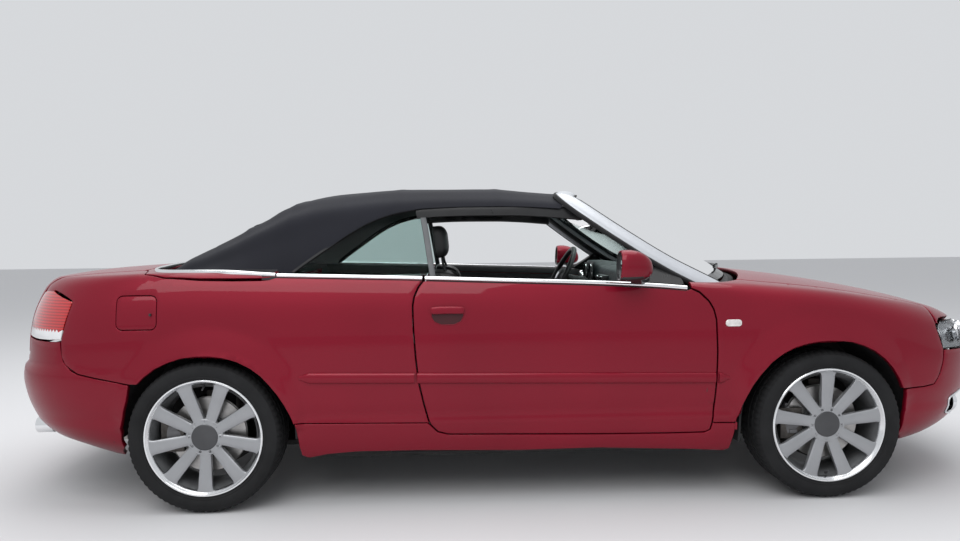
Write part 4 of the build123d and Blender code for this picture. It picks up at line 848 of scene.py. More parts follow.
tail_top = [(-1622, 549), (-1656, 554), (-1768, 576), (-1842, 592), (-1879, 611), (-1905, 628)]
rear_bumper_rim = whole(
    track(
        lay(
            "tail", "rear", (0, 642), (300, 642), (596, 642), (606, 650), (611, 668), (612, 722), (622, 728),
            (700, 724),
        ),
        lay(
            "tail", "xz", (-2052, 724), (-1990, 724), (-1926, 726), (-1922, 690), (-1910, 640),
            *tail_top[::-1][1:], (-1634, 482), (-1656, 410), (-1669, 341), (-1668, 272), (-1690, 222),
        ),
        lay("tail", "xz", (-1766, 216), (-1850, 240), (-1917, 262)),
        lay("tail", "rear", (690, 290), (600, 292), (400, 292), (0, 292)),
    ),
    0,
)
PIPE_NOTCH = lay("tail", "rear", *fillet([(490, 300), (610, 300), (618, 362), (482, 362)], 24))
painted(
    shell(skin("tail"), rear_bumper_rim, [PIPE_NOTCH, PIPE_NOTCH * (-1, 1)], depth=15, spacing=22),
    "rear_bumper_skin", "body", "rear_bumper",
)

PLATE_RING = [(285, 700), (285, 828), (-285, 828), (-285, 700)]
lid_rim = whole(
    track(
        lay(
            "lid", "xy", (-1642, 0), (-1642, 560), (-1648, 590), (-1672, 600), (-1800, 600), (-1950, 600),
            (-2060, 600),
        ),
        lay(
            "lid", "rear", (600, 930), (600, 880), (600, 800), (600, 700), (592, 664), (560, 652), (300, 651),
            (0, 651),
        ),
    ),
    0,
)


def lid_ring(points):
    q = lay("lid", "rear", *[(abs(y), z) for y, z in points])
    q[:, 0] = [y for y, _ in points]
    return q


plate_hole = lid_ring(fillet(PLATE_RING, 24))
painted(
    shell(skin("lid"), lid_rim, [plate_hole], depth=7, spacing=24), "boot_lid_skin", "boot_lid", "boot_lid"
)

TOP_FOOT_INNER = [
    (-1022, 752), (-1200, 752), (-1400, 752), (-1460, 745), (-1510, 722), (-1548, 680), (-1566, 620),
    (-1573, 500), (-1576, 0),
]
tonneau_rim = whole(
    track(
        lay("top", "xy", (-1636, 0), (-1636, 600), (-1618, 640)),
        lay("top", "xz", *TONNEAU_CUT[::-1]),
        lay("top", "xy", *TOP_FOOT_INNER),
    ),
    1,
)
painted(shell(skin("top"), tonneau_rim, depth=15, spacing=20), "tonneau_skin", "body", "tonneau_cover")

flap_shell = shell(side, flap_rim, gap=4.0, depth=8, spacing=14)
painted(flap_shell, "fuel_flap_skin", "fuel_flap", "fuel_flap")


# ---------- wheels ----------
RUBBER = simple(
    "tyre_rubber", (0.012, 0.0122, 0.013), 0.78, vary=0.25, scale=5.0, grain=0.25, grain_scale=1300,
    Specular_IOR_Level=0.25,
)
ALLOY = simple("silver_painted_alloy", (0.34, 0.347, 0.36), 0.34, 0.6, vary=0.05, rough_vary=0.03)
RIM_LIP = simple("machined_rim_lip", (0.80, 0.81, 0.82), 0.18, 1.0, vary=0.03)
RIM_DARK = simple("shaded_rim_barrel", (0.20, 0.205, 0.21), 0.45, 0.7, vary=0.15, scale=20)
CAP_GREY = simple("wheel_cap_grey", (0.07, 0.071, 0.075), 0.4, 0.5, vary=0.1)
DISC = simple("turned_disc_iron", (0.42, 0.41, 0.40), 0.36, 1.0, vary=0.12, scale=40)
CALIPER = simple("cast_caliper", (0.16, 0.16, 0.165), 0.5, 0.5, vary=0.15, grain=0.15)
RIM_EDGE = 246.0
AXLE_X, HUB_Y, HUB_Z = 1327.0, -761.5, 318.0
SPOKES = 9


def tyre_soup():
    """Carcass with bulged sidewalls, four grooves round the tread and cross grooves on its shoulders."""
    half = [(236, 97), (240, 101), (247, 106), (254, 110.5), (257, 112.6), (259.5, 111.6), (262, 113.2),
            (272, 116.3), (283, 117.4), (294, 115.8), (302, 112.4), (304.5, 111.6), (306, 109.4),
            (309.5, 105.6), (313.4, 99),
            (316.2, 90), (317.4, 80), (318, 66)]
    grooves = [
        (318, 64), (311, 63), (311, 57), (318, 56), (318, 40), (318, 26), (311, 25), (311, 18), (318, 17),
        (318, 0),
    ]
    outer = [(r, -y) for r, y in half] + [(r, -y) for r, y in grooves]
    profile = outer + [(r, -y) for r, y in outer[-2::-1]] + [(229, 92), (226, 40), (226, -40), (229, -92)]
    profile = np.array(profile, float)
    rings = []
    steps = 216
    for i in range(steps):
        q = 2 * math.pi * i / steps
        cut = np.zeros(len(profile))
        shoulder = (np.abs(profile[:, 1]) > 65) & (profile[:, 0] > 305.8)
        block_ = (profile[:, 0] > 317.9) & (np.abs(profile[:, 1]) > 25) & (np.abs(profile[:, 1]) < 60)
        if i % 3 == 0:
            cut[shoulder] = 3.6
        if i % 4 == 1:
            cut[block_] = 3.0
        r = profile[:, 0] - cut
        rings.append(np.column_stack([np.sin(q) * r, profile[:, 1], np.cos(q) * r]))
    rings.append(rings[0])
    return loft(rings)


def spoke_soup():
    rings = []
    for r in [52, 62, 70, 76, 84, 96, 112, 130, 150, 170, 190, 204, 212, 218, 223, 227, 230]:
        w = 23.2 + 7.8 * (r - 74) / 158
        w += 16 * (1 - math.sqrt(max(0.0, 1 - (np.clip((r - 206) / 24, 0, 1)) ** 2)))
        w += 2.3 * (1 - math.sqrt(max(0.0, 1 - (np.clip((92 - r) / 22, 0, 1)) ** 2)))
        face = -86 - 13 * smooth((r - 70) / 150) ** 1.2
        back = face + 30 - 8 * smooth((r - 80) / 140)
        bow = 2.2
        rings.append(
            [(-w, face + 6, r), (-w + 1.4, face + 2.2, r), (-w + 5, face, r), (-w * 0.4, face - bow * 0.6, r),
             (0, face - bow, r),
             (w * 0.4, face - bow * 0.6, r), (w - 5, face, r), (w - 1.4, face + 2.2, r), (w, face + 6, r),
             (w * 0.9, back, r), (0, back - 3, r), (-w * 0.9, back, r)]
        )
    return loft(np.array(rings, float), cap=(True, True))


def wheel_soup(first):
    """Barrel, lip, spokes, hub with its bolts, cap and valve; first is where a spoke points."""
    soup = Soup()
    barrel = [
        (229, -96), (236, -99), (RIM_EDGE - 1, -100), (RIM_EDGE, -103), (RIM_EDGE, -108.5),
        (RIM_EDGE - 2.5, -110.8),
        (RIM_EDGE - 8, -110.4), (236, -107.5), (231, -103), (226.5, -97), (223.5, -90),
    ]
    soup.join(lathe(barrel, (0, 0, 0), count=96, mat=1))
    inner = [
        (223.5, -90), (218, -76), (209, -58), (206, -20), (205, 50), (210, 80), (221, 96), (228, 103),
        (240, 106), (244, 110), (240, 114), (232, 110), (228, 100), (228, 92), (215, 70), (212, -40),
        (216, -60), (229, -96),
    ]
    soup.join(lathe(inner, (0, 0, 0), count=96, mat=2))
    one = spoke_soup()
    for k in range(SPOKES):
        soup.join(turned(one, first + 2 * math.pi * k / SPOKES, (0, 0, 0)))
    hub = [(0, -66), (44, -66), (74, -64), (79, -70), (79.5, -82), (77, -86.5), (73, -88), (70, -87),
           (69, -83.5),
           (58.5, -83.5), (57, -86.2), (55.5, -87), (0, -87)]
    soup.join(lathe(hub, (0, 0, 0), count=72))
    cap = [(55.2, -84), (55.2, -88), (53.5, -90), (50, -91), (47, -90.4), (30, -92.4), (0, -93)]
    soup.join(lathe(cap, (0, 0, 0), count=48, mat=3))
    for k in range(10):
        q = 2 * math.pi * (k + 0.5) / 10
        bolt = [(5.2, -83), (5.2, -86.4), (4.2, -87.4), (2.6, -87.4), (2.2, -85.2), (0, -85.2)]
        soup.join(lathe(bolt, (63.8 * math.sin(q), 0, 63.8 * math.cos(q)), count=6 if k % 5 else 12, mat=3))
    q = first + 2 * math.pi * 4.5 / SPOKES
    stem = np.array([(0, -72, 216), (0, -86, 211), (0, -97, 206), (0, -104, 203)], float)
    stem = sweep(stem, circle(4.4, 10), (1, 0, 0), scale=[1.1, 1.0, 0.85, 0.8], mat=3)
    soup.join(turned(stem, q, (0, 0, 0)))
    return soup


def disc_soup():
    soup = Soup()
    ring = [
        (86, -30.5), (158, -30.5), (159.5, -29), (159.5, -22), (156, -21), (156, -16), (159.5, -15),
        (159.5, -8), (158, -6.5), (86, -6.5), (86, -30.5),
    ]
    soup.join(lathe(ring, (0, 0, 0), count=90))
    hat = [
        (86, -30.5), (85, -33), (83, -36.5), (76, -37.4), (60, -37.4), (44, -37.4), (44, -31), (70, -30),
        (80, -26), (86, -6.5),
    ]
    soup.join(lathe(hat, (0, 0, 0), count=60, mat=1))
    return soup


def caliper_soup():
    """A sliding caliper behind the axle that wraps the disc's rim."""
    soup = Soup()
    rows = []
    for q in np.linspace(-0.42, 0.42, 13):
        end = abs(q) / 0.42
        low, high = 104 + 14 * end**3, 186 - 9 * end**2
        out, back_ = -56 + 5 * end**4, 30 - 4 * end**4
        prof = [(low, out + 6), (low + 5, out), (164, out - 1), (high - 5, out + 4), (high, out + 12),
                (high, back_ - 10),
                (high - 6, back_), (low + 6, back_), (low, back_ - 6), (low, -0.5), (166, -0.5), (166, -36.5),
                (low, -36.5)]
        rows.append([(-r * math.cos(q), y, r * math.sin(q)) for r, y in prof])
    soup.join(loft(rows, cap=(True, True)))
    for q in (-0.24, 0.24):
        soup.join(block((-152, -61, 148 * math.sin(q) - 9), (-118, -54, 148 * math.sin(q) + 9), 3.5))
    for z in (-74, 74):
        soup.join(tube([(-150, 36, z), (-150, -20, z)], 7, 10, (1, 0, 0)))
    return soup


tread, disc_ring, caliper = tyre_soup(), disc_soup(), caliper_soup()
for end_, axle, first in (("front", AXLE_X, 0.0), ("rear", -AXLE_X, math.pi)):
    hub_at = (axle, HUB_Y, HUB_Z)
    wheels = (f"wheel_{end_}_right", f"wheel_{end_}_left")
    uprights = ("knuckle_right", "knuckle_left") if end_ == "front" else TWICE
    pair(
        shifted(tread, hub_at), f"tyre_carcass_{end_}", [RUBBER], wheels, slot="tyre",
        replaces=(f"tyre_{end_}_SIDE",), angle=34,
    )
    pair(
        shifted(wheel_soup(first), hub_at), f"alloy_wheel_{end_}", [ALLOY, RIM_LIP, RIM_DARK, CAP_GREY],
        wheels,
        slot="alloy", replaces=(f"rim_{end_}_SIDE",), angle=38,
    )
    pair(
        shifted(disc_ring, hub_at), f"disc_{end_}", [DISC, RIM_DARK], wheels, slot="disc_iron",
        replaces=(f"brake_disc_{end_}_SIDE",), angle=35,
    )
    pair(shifted(caliper, hub_at), f"caliper_{end_}", [CALIPER], uprights, slot="iron", angle=40)


# ---------- soft top ----------
def fabric(name, colour, weave=1500.0):
    mat, tree, s = material(name)
    patches = noise(tree, 2.2, 4.0)
    ramped(tree, patches, (0.25, shade(colour, 0.8)), (0.75, shade(colour, 1.25)), s.inputs["Base Color"])
    coord = node(tree, "ShaderNodeTexCoord")
    waves = []
    for axis in ("X", "Y"):
        wave = node(tree, "ShaderNodeTexWave", Scale=weave / 6, Distortion=0.6, bands_direction=axis)
        tree.links.new(coord.outputs["Object"], wave.inputs["Vector"])
        waves.append(wave.outputs["Fac"])
    both_ = node(tree, "ShaderNodeMath", operation="MULTIPLY")
    tree.links.new(waves[0], both_.inputs[0])
    tree.links.new(waves[1], both_.inputs[1])
    bump(tree, s, both_.outputs["Value"], 0.22, 0.0006)
    s.inputs["Roughness"].default_value = 0.82
    s.inputs["Sheen Weight"].default_value = 0.05
    s.inputs["Sheen Roughness"].default_value = 0.5
    s.inputs["Specular IOR Level"].default_value = 0.2
    return mat


CANVAS = fabric("black_blue_canvas", (0.011, 0.0115, 0.0165))
LINING = fabric("grey_headlining", (0.24, 0.245, 0.245), 2200.0)

z_crown = curve(
    (-1570, 1008), (-1545, 1036), (-1500, 1062), (-1450, 1092), (-1400, 1122), (-1250, 1200), (-1140, 1258),
    (-1045, 1310), (-985, 1334), (-929, 1350), (-809, 1372), (-700, 1380), (-500, 1388), (-290, 1391),
    (-60, 1385), (116, 1372), (302, 1350), (385, 1336),
)
z_corner = curve(
    (-1570, 1002), (-1545, 1018), (-1510, 1038), (-1483, 1060), (-1377, 1104), (-1246, 1170), (-1139, 1224),
    (-1048, 1277), (-982, 1299), (-852, 1329), (-712, 1345), (-548, 1354), (-286, 1359), (-128, 1356),
    (67, 1343), (232, 1322), (385, 1296),
)
z_rail = curve(
    (-1570, 994), (-1530, 1006), (-1450, 1038), (-1377, 1066), (-1250, 1118), (-1139, 1168), (-980, 1232),
    (-852, 1262), (-700, 1284), (-548, 1296), (-290, 1304), (0, 1300), (200, 1290), (385, 1262),
)
y_rail = curve(
    (-1570, 590), (-1450, 622), (-1250, 640), (-980, 636), (-700, 630), (-290, 626), (200, 622), (385, 606)
)
y_corner = curve((-1570, 420), (-1500, 480), (-1400, 500), (385, 500))
z_edge = curve(
    (-985, 985), (-966, 1000), (-887, 1058), (-809, 1112), (-731, 1165), (-652, 1210), (-574, 1241),
    (-497, 1260), (-442, 1269), (-414, 1273), (-199, 1280), (-14, 1279), (141, 1272), (300, 1258),
    (385, 1250),
)
SPAN = 900.0  # the s coordinate at the roof's foot
STEPS = 60  # between the points of a section


def y_foot(x):
    t = np.clip((-1417 - x) / 149, 0, 1)
    return 742 - 175 * (1 - np.sqrt(1 - t * t * 0.999))


def section(x):
    """The roof's right-hand half section at x, from foot to crown, as STEPS + 1 smoothed points (y, z)."""
    top, low = float(z_crown(x)), float(z_corner(x))
    yc = float(y_corner(x))
    pts = [
        (float(y_foot(x)), 984.0), (float(y_rail(x)) + 16, float(z_rail(x)) - 52),
        (float(y_rail(x)) - 4, float(z_rail(x))),
    ]
    pts += [(y, top - (top - low) * (y / yc) ** 2) for y in np.linspace(yc, 0, 12)]
    pts = ends_round(pts, 6.0, closed=False)
    for _ in range(26):
        pts[1:-1] = (pts[:-2] + 2 * pts[1:-1] + pts[2:]) / 4
    run = np.concatenate([[0], np.cumsum(np.linalg.norm(np.diff(pts, axis=0), axis=1))])
    at = np.linspace(0, run[-1], STEPS + 1)
    return np.column_stack([np.interp(at, run, pts[:, k]) for k in range(2)])


STATIONS = np.concatenate([np.linspace(-1570, -1400, 30)[:-1], np.linspace(-1400, 385, 120)])
SECTIONS = np.array([section(x) for x in STATIONS])


def canvas_point(x, s):
    """A point of the roof's skin; s runs from 0 at the crown to SPAN at the foot, negative on the left."""
    k = np.clip(np.interp(x, STATIONS, np.arange(len(STATIONS))), 0, len(STATIONS) - 1.001)
    m = np.clip((1 - np.abs(s) / SPAN) * STEPS, 0, STEPS - 0.001)
    i, j = k.astype(int), m.astype(int)
    a, b = (k - i)[:, None], (m - j)[:, None]
    yz = (SECTIONS[i, j] * (1 - a) + SECTIONS[i + 1, j] * a) * (1 - b) + (
        SECTIONS[i, j + 1] * (1 - a) + SECTIONS[i + 1, j + 1] * a
    ) * b
    return np.column_stack([x, -np.sign(s + 1e-9) * yz[:, 0], yz[:, 1]])


def s_at(x, value, column):
    """The s on the right-hand side where y (column 0) or z (column 1) takes a value."""
    k = min(max(float(np.interp(x, STATIONS, np.arange(len(STATIONS)))), 0), len(STATIONS) - 1.001)
    line = SECTIONS[int(k)][:, column] * (1 - k % 1) + SECTIONS[int(k) + 1][:, column] * (k % 1)
    order = np.argsort(line)
    return SPAN * (1 - np.interp(value, line[order], np.arange(STEPS + 1)[order] / STEPS))


SAG_ENDS = (-1400, -1196, -990, -520, -60, 250)
# height and half width, at each end but the first
BOWS = ((4.2, 15), (5.0, 16), (2.2, 24), (2.6, 24), (2.5, 30))


def canvas_surface(depth=0.0, ripple=1.0):
    """The roof's skin with its bows, the sag between them and the pulls in the rear quarters."""

    def surface(q):
        x, s = q[:, 0], q[:, 1]
        p = canvas_point(x, s)
        e = 3.0
        du = canvas_point(x + e, s) - canvas_point(x - e, s)
        dv = canvas_point(x, s + e) - canvas_point(x, s - e)
        n = unit(np.cross(du, dv))
        outward = np.column_stack(
            [np.where(x < -1100, -0.5, 0.1), -np.sign(s + 1e-9) * np.abs(s) / SPAN * 1.2, 1.0 + 0 * x]
        )
        n[np.sum(n * outward, axis=1) < 0] *= -1
        t = np.abs(s) / SPAN
        lift = np.zeros_like(x)
        for at, (tall, wide) in zip(SAG_ENDS[1:], BOWS):
            lift += tall * np.exp(-(((x - at + 26 * t**2) / wide) ** 2)) * smooth((0.86 - t) / 0.3)
        for a, b in zip(SAG_ENDS, SAG_ENDS[1:]):
            u = np.clip((x - a) / (b - a), 0, 1)
            lift -= 4.0 * np.sin(math.pi * u) ** 2 * smooth((0.8 - t) / 0.4) * (b - a) / 460
        rear = smooth((-620 - x) / 380) * smooth((t - 0.32) / 0.3)
        lift += ripple * rear * (
            1.9 * np.sin((x * 0.9 + s * 1.5) / 58 + 0.8 * np.sin(s / 90)) * smooth((0.98 - t) / 0.18)
            + 1.1 * np.sin((x * 1.6 - s * 0.7) / 41 + 1.3) * smooth((-900 - x) / 300)
        )
        foot = smooth((t - 0.86) / 0.12) * smooth((-980 - x) / 60)
        lift += ripple * foot * 1.7 * np.sin(x / 27 + 1.6 * np.sin(x / 71))
        return p + n * (lift - depth)[:, None], n

    return surface


def canvas_rim(edge_lift=0.0, front_pull=0.0):
    """The outline of the fabric in (x, s), right-hand half, from the rear middle to the front middle."""
    rear = [(-1568, s) for s in np.linspace(0, SPAN, 12)]
    foot = [(x, SPAN) for x in np.linspace(-1555, -985, 40)]
    edge = [(x, s_at(x, float(z_edge(x)) + edge_lift, 1)) for x in np.linspace(-975, 222, 90)]
    last = edge[-1][1]
    front = [(312 - 98 * (s / last) ** 2 - front_pull, s) for s in np.linspace(last, 0, 14)]
    return np.array(rear + foot + edge + front, float)


def rear_glass_ring(half_y, x0, x1, r):
    flat_ring = ends_round(fillet([(x0, half_y), (x0, -half_y), (x1, -half_y + 34), (x1, half_y - 34)], r), 8)
    return np.array([(x, math.copysign(s_at(x, abs(y), 0), y)) for x, y in flat_ring])


def thin(surface, rim, holes, thick, spacing, step=8.0, mat=0):
    """A thin sheet with two faces and closed edges over a 2D rim."""
    rings = [ends_round(turn_left(rim), step)] + [ends_round(turn_left(h), step)[::-1] for h in holes]
    pts, faces, spans = triangulate(rings[0], rings[1:], spacing)
    p, n = surface(pts)
    tri = p[faces]
    if np.sum(np.cross(tri[:, 1] - tri[:, 0], tri[:, 2] - tri[:, 0]) * n[faces[:, 0]]) < 0:
        faces = faces[:, ::-1]
        order = -1
    else:
        order = 1
    count = len(p)
    all_faces = [list(f) for f in faces] + [[i + count for i in f[::-1]] for f in faces]
    for span in spans:
        for i in range(len(span)):
            j = (i + 1) % len(span)
            quad = [int(span[i]), int(span[i] + count), int(span[j] + count), int(span[j])]
            all_faces.append(quad[::order])
    area = float(np.sum(np.linalg.norm(np.cross(tri[:, 1] - tri[:, 0], tri[:, 2] - tri[:, 0]), axis=1)) / 2e6)
    return Soup().add(np.vstack([p, p - n * thick]), all_faces, mat), area


canvas_ring = whole(canvas_rim(), 1)
glass_ring = rear_glass_ring(418, -1398, -1082, 60)
canvas, canvas_area = thin(canvas_surface(), canvas_ring, [glass_ring], 2.6, 20.0)
canvas_piece = canvas.build(
    "soft_top_canvas", [CANVAS], "body", slot="black_fabric", replaces=("soft_top",), angle=50
)
lining_ring = whole(canvas_rim(26.0, 8.0), 1)
lining, lining_area = thin(
    canvas_surface(17.0, 0.3), lining_ring, [rear_glass_ring(426, -1404, -1076, 60)], 1.6, 34.0, 12.0
)
lining_piece = lining.build("soft_top_headlining", [LINING], "body", slot="black_fabric", angle=50)


length = float(
    np.sum(np.hypot(np.diff(STATIONS[STATIONS < 312]), np.diff(z_crown(STATIONS[STATIONS < 312]))))
)

rear_pane, _ = thin(canvas_surface(1.5, 0.0), rear_glass_ring(414, -1394, -1086, 58), [], 3.5, 30.0)


# ---------- glass, frames and seals ----------
def glass_material(name, tint):
    mat, tree, s = material(name)
    drift = noise(tree, 3.0, 2.0)
    ramped(tree, drift, (0.3, shade(tint, 0.97)), (0.7, shade(tint, 1.02)), s.inputs["Base Color"])
    s.inputs["Transmission Weight"].default_value = 1.0
    s.inputs["Roughness"].default_value = 0.0
    s.inputs["IOR"].default_value = 1.08
    s.inputs["Specular IOR Level"].default_value = 0.9
    return mat


GLASS_CLEAR = glass_material("windscreen_glass", (0.80, 0.92, 0.885))
GLASS_GREEN = glass_material("tinted_side_glass", (0.62, 0.72, 0.70))
GLASS_REAR = glass_material("rear_window_glass", (0.50, 0.58, 0.57))
FRIT = simple("black_ceramic_border", (0.01, 0.01, 0.011), 0.2, vary=0.1)

rear_pane.build("rear_window_pane", [GLASS_REAR], "body", slot="glass", replaces=("rear_window",), angle=50)
ring_q = ends_round(turn_left(rear_glass_ring(417, -1397, -1083, 60)), 10)
ring_p, ring_n = canvas_surface(-0.6, 0.0)(ring_q)
sweep(
    ring_p, rounded(15, 5, 2.2, 3), ring_n, closed=True
).build("rear_window_seal", [GAP_BLACK], "body", angle=50)

PILLAR = np.array(
    [(905, -762, 905), (866, -749, 928), (790, -736, 968), (700, -718, 1016), (610, -697, 1071),
     (520, -672, 1131), (440, -648, 1186), (370, -625, 1236), (315, -604, 1276), (283, -588, 1299),
     (264, -570, 1314), (258, -545, 1322),
     (262, -500, 1328), (284, -400, 1338), (309, -280, 1346), (327, -140, 1351), (333, 0, 1353)], float
)
PILLAR_UP = np.array(
    [(0.50, -0.55, 0.66)] * 9 + [(0.46, -0.5, 0.72), (0.4, -0.42, 0.8), (0.36, -0.3, 0.88),
     (0.34, -0.2, 0.92),
     (0.33, -0.12, 0.94), (0.33, -0.08, 0.94), (0.33, -0.04, 0.95), (0.33, 0, 0.95)], float
)


def fine(points, count):
    """Catmull-Rom through 3D points."""
    p = np.asarray(points, float)
    ends = np.vstack([2 * p[0] - p[1], p, 2 * p[-1] - p[-2]])
    at = np.linspace(0, len(p) - 1.0001, count)
    i = at.astype(int)
    t = (at - i)[:, None]
    a, b, c, d = ends[i], ends[i + 1], ends[i + 2], ends[i + 3]
    return 0.5 * (2 * b + (c - a) * t + (2 * a - 5 * b + 4 * c - d) * t**2 + (3 * b - a - 3 * c + d) * t**3)


pillar_path, pillar_up = fine(PILLAR, 64), unit(fine(PILLAR_UP, 64))
frame_path = across(pillar_path)
frame_up = across(pillar_up)
FRAME_PROFILE = [
    (24, -20), (24, 3), (21, 8), (14, 11), (0, 12.5), (-18, 11), (-38, 6), (-50, 0), (-56, -6), (-56, -26),
    (-40, -30), (16, -26),
]
_, frame_out, frame_above = frames(frame_path, frame_up)
glass_side = np.sign(np.sum(frame_out[10] * np.array([0.38, 0.85, 0.33])))
FRAME_PROFILE = [(glass_side * a, b) for a, b in FRAME_PROFILE]
SURROUND = simple("satin_pillar_finish", (0.52, 0.54, 0.57), 0.34, 0.35, vary=0.04, rough_vary=0.03)
sweep(frame_path, FRAME_PROFILE, frame_up).build(
    "windscreen_surround", [SURROUND], "body", slot="satin_metal", replaces=("windscreen_frame",), angle=40
)
seal_path = frame_path + frame_out * glass_side * 27 + frame_above * 2
seals = sweep(seal_path, rounded(9, 12, 3, 3), frame_up)
seals.join(
    sweep(
        frame_path[3:-3] - frame_out[3:-3] * glass_side * 60 - frame_above[3:-3] * 17, rounded(12, 20, 4, 3),
        frame_up[3:-3],
    )
)
seals.build("windscreen_seal", [GAP_BLACK], "body", angle=50)
trim_path = frame_path - frame_above * 27 - frame_out * glass_side * 4
sweep(trim_path, rounded(38, 12, 5, 3), frame_up).build(
    "windscreen_inner_trim", [TRIM_BLACK], "body", angle=50
)

inward = frame_out * glass_side
glass_rim = pillar_path + inward[:64] * 21 - frame_above[:64] * 1
rim_z = glass_rim[4:39, 2]


def screen_point(a, b):
    """The windscreen: a across from -1 to 1, positive on the right; b from base to head."""
    at = b * (len(rim_z) - 1) + 4
    edge = np.column_stack([np.interp(at, np.arange(64), glass_rim[:, k]) for k in range(3)])
    mid_x = np.interp(b, [0, 0.5, 1.0], [1092, 752, 350])
    mid_z = np.interp(b, [0, 0.5, 1.0], [962, 1160, 1340])
    w = 1 - np.abs(a) ** (2.1 - 0.25 * b)
    x = edge[:, 0] + (mid_x - edge[:, 0]) * w
    z = edge[:, 2] + (mid_z - edge[:, 2]) * w
    lift = 12 * 4 * b * (1 - b) * w
    return np.column_stack([x + lift * 0.45, a * edge[:, 1], z + lift * 0.85])


def screen_sheet(thick, count=(49, 33)):
    """The windscreen's two faces, with a dark border as its second material."""
    a, b = np.meshgrid(np.linspace(-1, 1, count[0]), np.linspace(0, 1, count[1]), indexing="ij")
    p = screen_point(a.ravel(), b.ravel())
    n = np.array([0.45, 0, 0.9])
    w = count[1]
    faces, mats = [], []
    for i in range(count[0] - 1):
        for j in range(w - 1):
            faces.append((i * w + j, (i + 1) * w + j, (i + 1) * w + j + 1, i * w + j + 1))
            edge = i < 1 or i > count[0] - 3 or j < 2 or j > w - 4
            mats.append(1 if edge else 0)
    soup = Soup()
    soup.add(p, faces, 0)
    soup.add(p - n * thick, [f[::-1] for f in faces], 0)
    soup.m = mats + mats
    return soup


screen_sheet(4.5).build(
    "windscreen_pane", [GLASS_CLEAR, FRIT], "body", slot="glass", replaces=("windscreen",)
)

# quarter windows: fixed panes behind the doors
PANE = fillet(
    [
        (-958, 985), (-966, 1001), (-887, 1059), (-731, 1166), (-652, 1211), (-574, 1242), (-497, 1261),
        (-424, 1271), (-378, 985),
    ], 14
)


def pane_y(z):
    return 746 - 150 * (z - 965) / 300 + 9 * np.sin(np.clip((z - 955) / 320, 0, 1) * math.pi)


def pane_surface(q):
    x, z = q[:, 0], q[:, 1]
    p = np.column_stack([x, -pane_y(z), z])
    n = unit(np.column_stack([0 * x, -1 + 0 * x, 0.47 + 0 * x]))
    return p, n


pane, _ = thin(pane_surface, PANE, [], 4.0, 40.0)
pair(pane, "quarter_pane", [GLASS_GREEN], TWICE, slot="glass", angle=50, replaces=("quarter_windows",))
edge_q = np.array([(x, float(z_edge(x)) + 1) for x in np.linspace(-968, -426, 50)])
edge_p, _ = pane_surface(edge_q)
quarter_seal = sweep(edge_p + (0, -3, 0), rounded(12, 10, 3, 3), (0, -0.9, 0.45))
pair(quarter_seal, "quarter_window_seal", [GAP_BLACK], TWICE, angle=50)
bar_q = np.array([(-366, 972), (-381, 1070), (-395, 1160), (-409, 1240), (-415, 1270)], float)
bar_p, _ = pane_surface(bar_q)
bar = sweep(fine(bar_p, 24), rounded(26, 11, 3, 3), (0, -0.9, 0.45))
pair(
    bar, "quarter_window_bar", [simple("grey_window_bar", (0.075, 0.08, 0.085), 0.42, 0.0, vary=0.08)], TWICE,
    angle=50,
)

# rails under the roof's edge above the door windows
rail_x = np.linspace(-440, 312, 44)
rail_y = -np.interp(rail_x, [-440, 0, 236, 312], [610, 610, 596, 580])
rail = np.array([(x, y, float(z_edge(x)) - 8) for x, y in zip(rail_x, rail_y)])
rail_soup = sweep(
    rail, [(-11, -30), (-11, 14), (-6, 19), (6, 19), (11, 14), (12, -6), (14, -22), (12, -32), (0, -36)],
    (0, 0, 1),
)
pair(rail_soup, "roof_rail", [TRIM_BLACK], TWICE, slot="black_plastic", angle=45)

# black sail at the foot of each pillar, where the mirror is fixed
SAIL = fillet(
    [
        (722, 925), (600, 937), (486, 947), (500, 962), (560, 1004), (600, 1036), (618, 1042), (640, 1030),
        (705, 978),
    ],
    8,
)


def sail_surface(q):
    x, z = q[:, 0], q[:, 1]
    y = 806 - 118 * np.clip((z - 925) / 150, 0, 1.2) - 8 * (x - 500) / 200
    return np.column_stack([x, -y, z]), unit(np.column_stack([0 * x, -1 + 0 * x, 0.6 + 0 * x]))


sail, _ = thin(sail_surface, SAIL, [], 16.0, 18.0)
pair(sail, "door_sail", [TRIM_BLACK], BODY_DOORS, slot="black_plastic", angle=40)


# ---------- lamps ----------
LENS = glass_material("clear_lamp_lens", (0.95, 0.96, 0.97))
RED_LENS, tree_, s_ = material("red_lamp_lens")
ribs = node(tree_, "ShaderNodeTexWave", Scale=26.0, Distortion=0.0, bands_direction="Z")
mapped(tree_, ribs)
ramped(tree_, ribs, (0.2, (0.30, 0.004, 0.006)), (0.8, (0.52, 0.012, 0.014)), s_.inputs["Base Color"])
bump(tree_, s_, ribs.outputs["Fac"], 0.25, 0.001)
s_.inputs["Roughness"].default_value = 0.08
s_.inputs["Coat Weight"].default_value = 1.0
s_.inputs["Coat Roughness"].default_value = 0.03
WHITE_LENS = simple("white_lamp_band", (0.75, 0.76, 0.77), 0.15, vary=0.05, Coat_Weight=1.0)
REFLECTOR = simple("lamp_reflector", (0.82, 0.83, 0.85), 0.12, 1.0, vary=0.03)

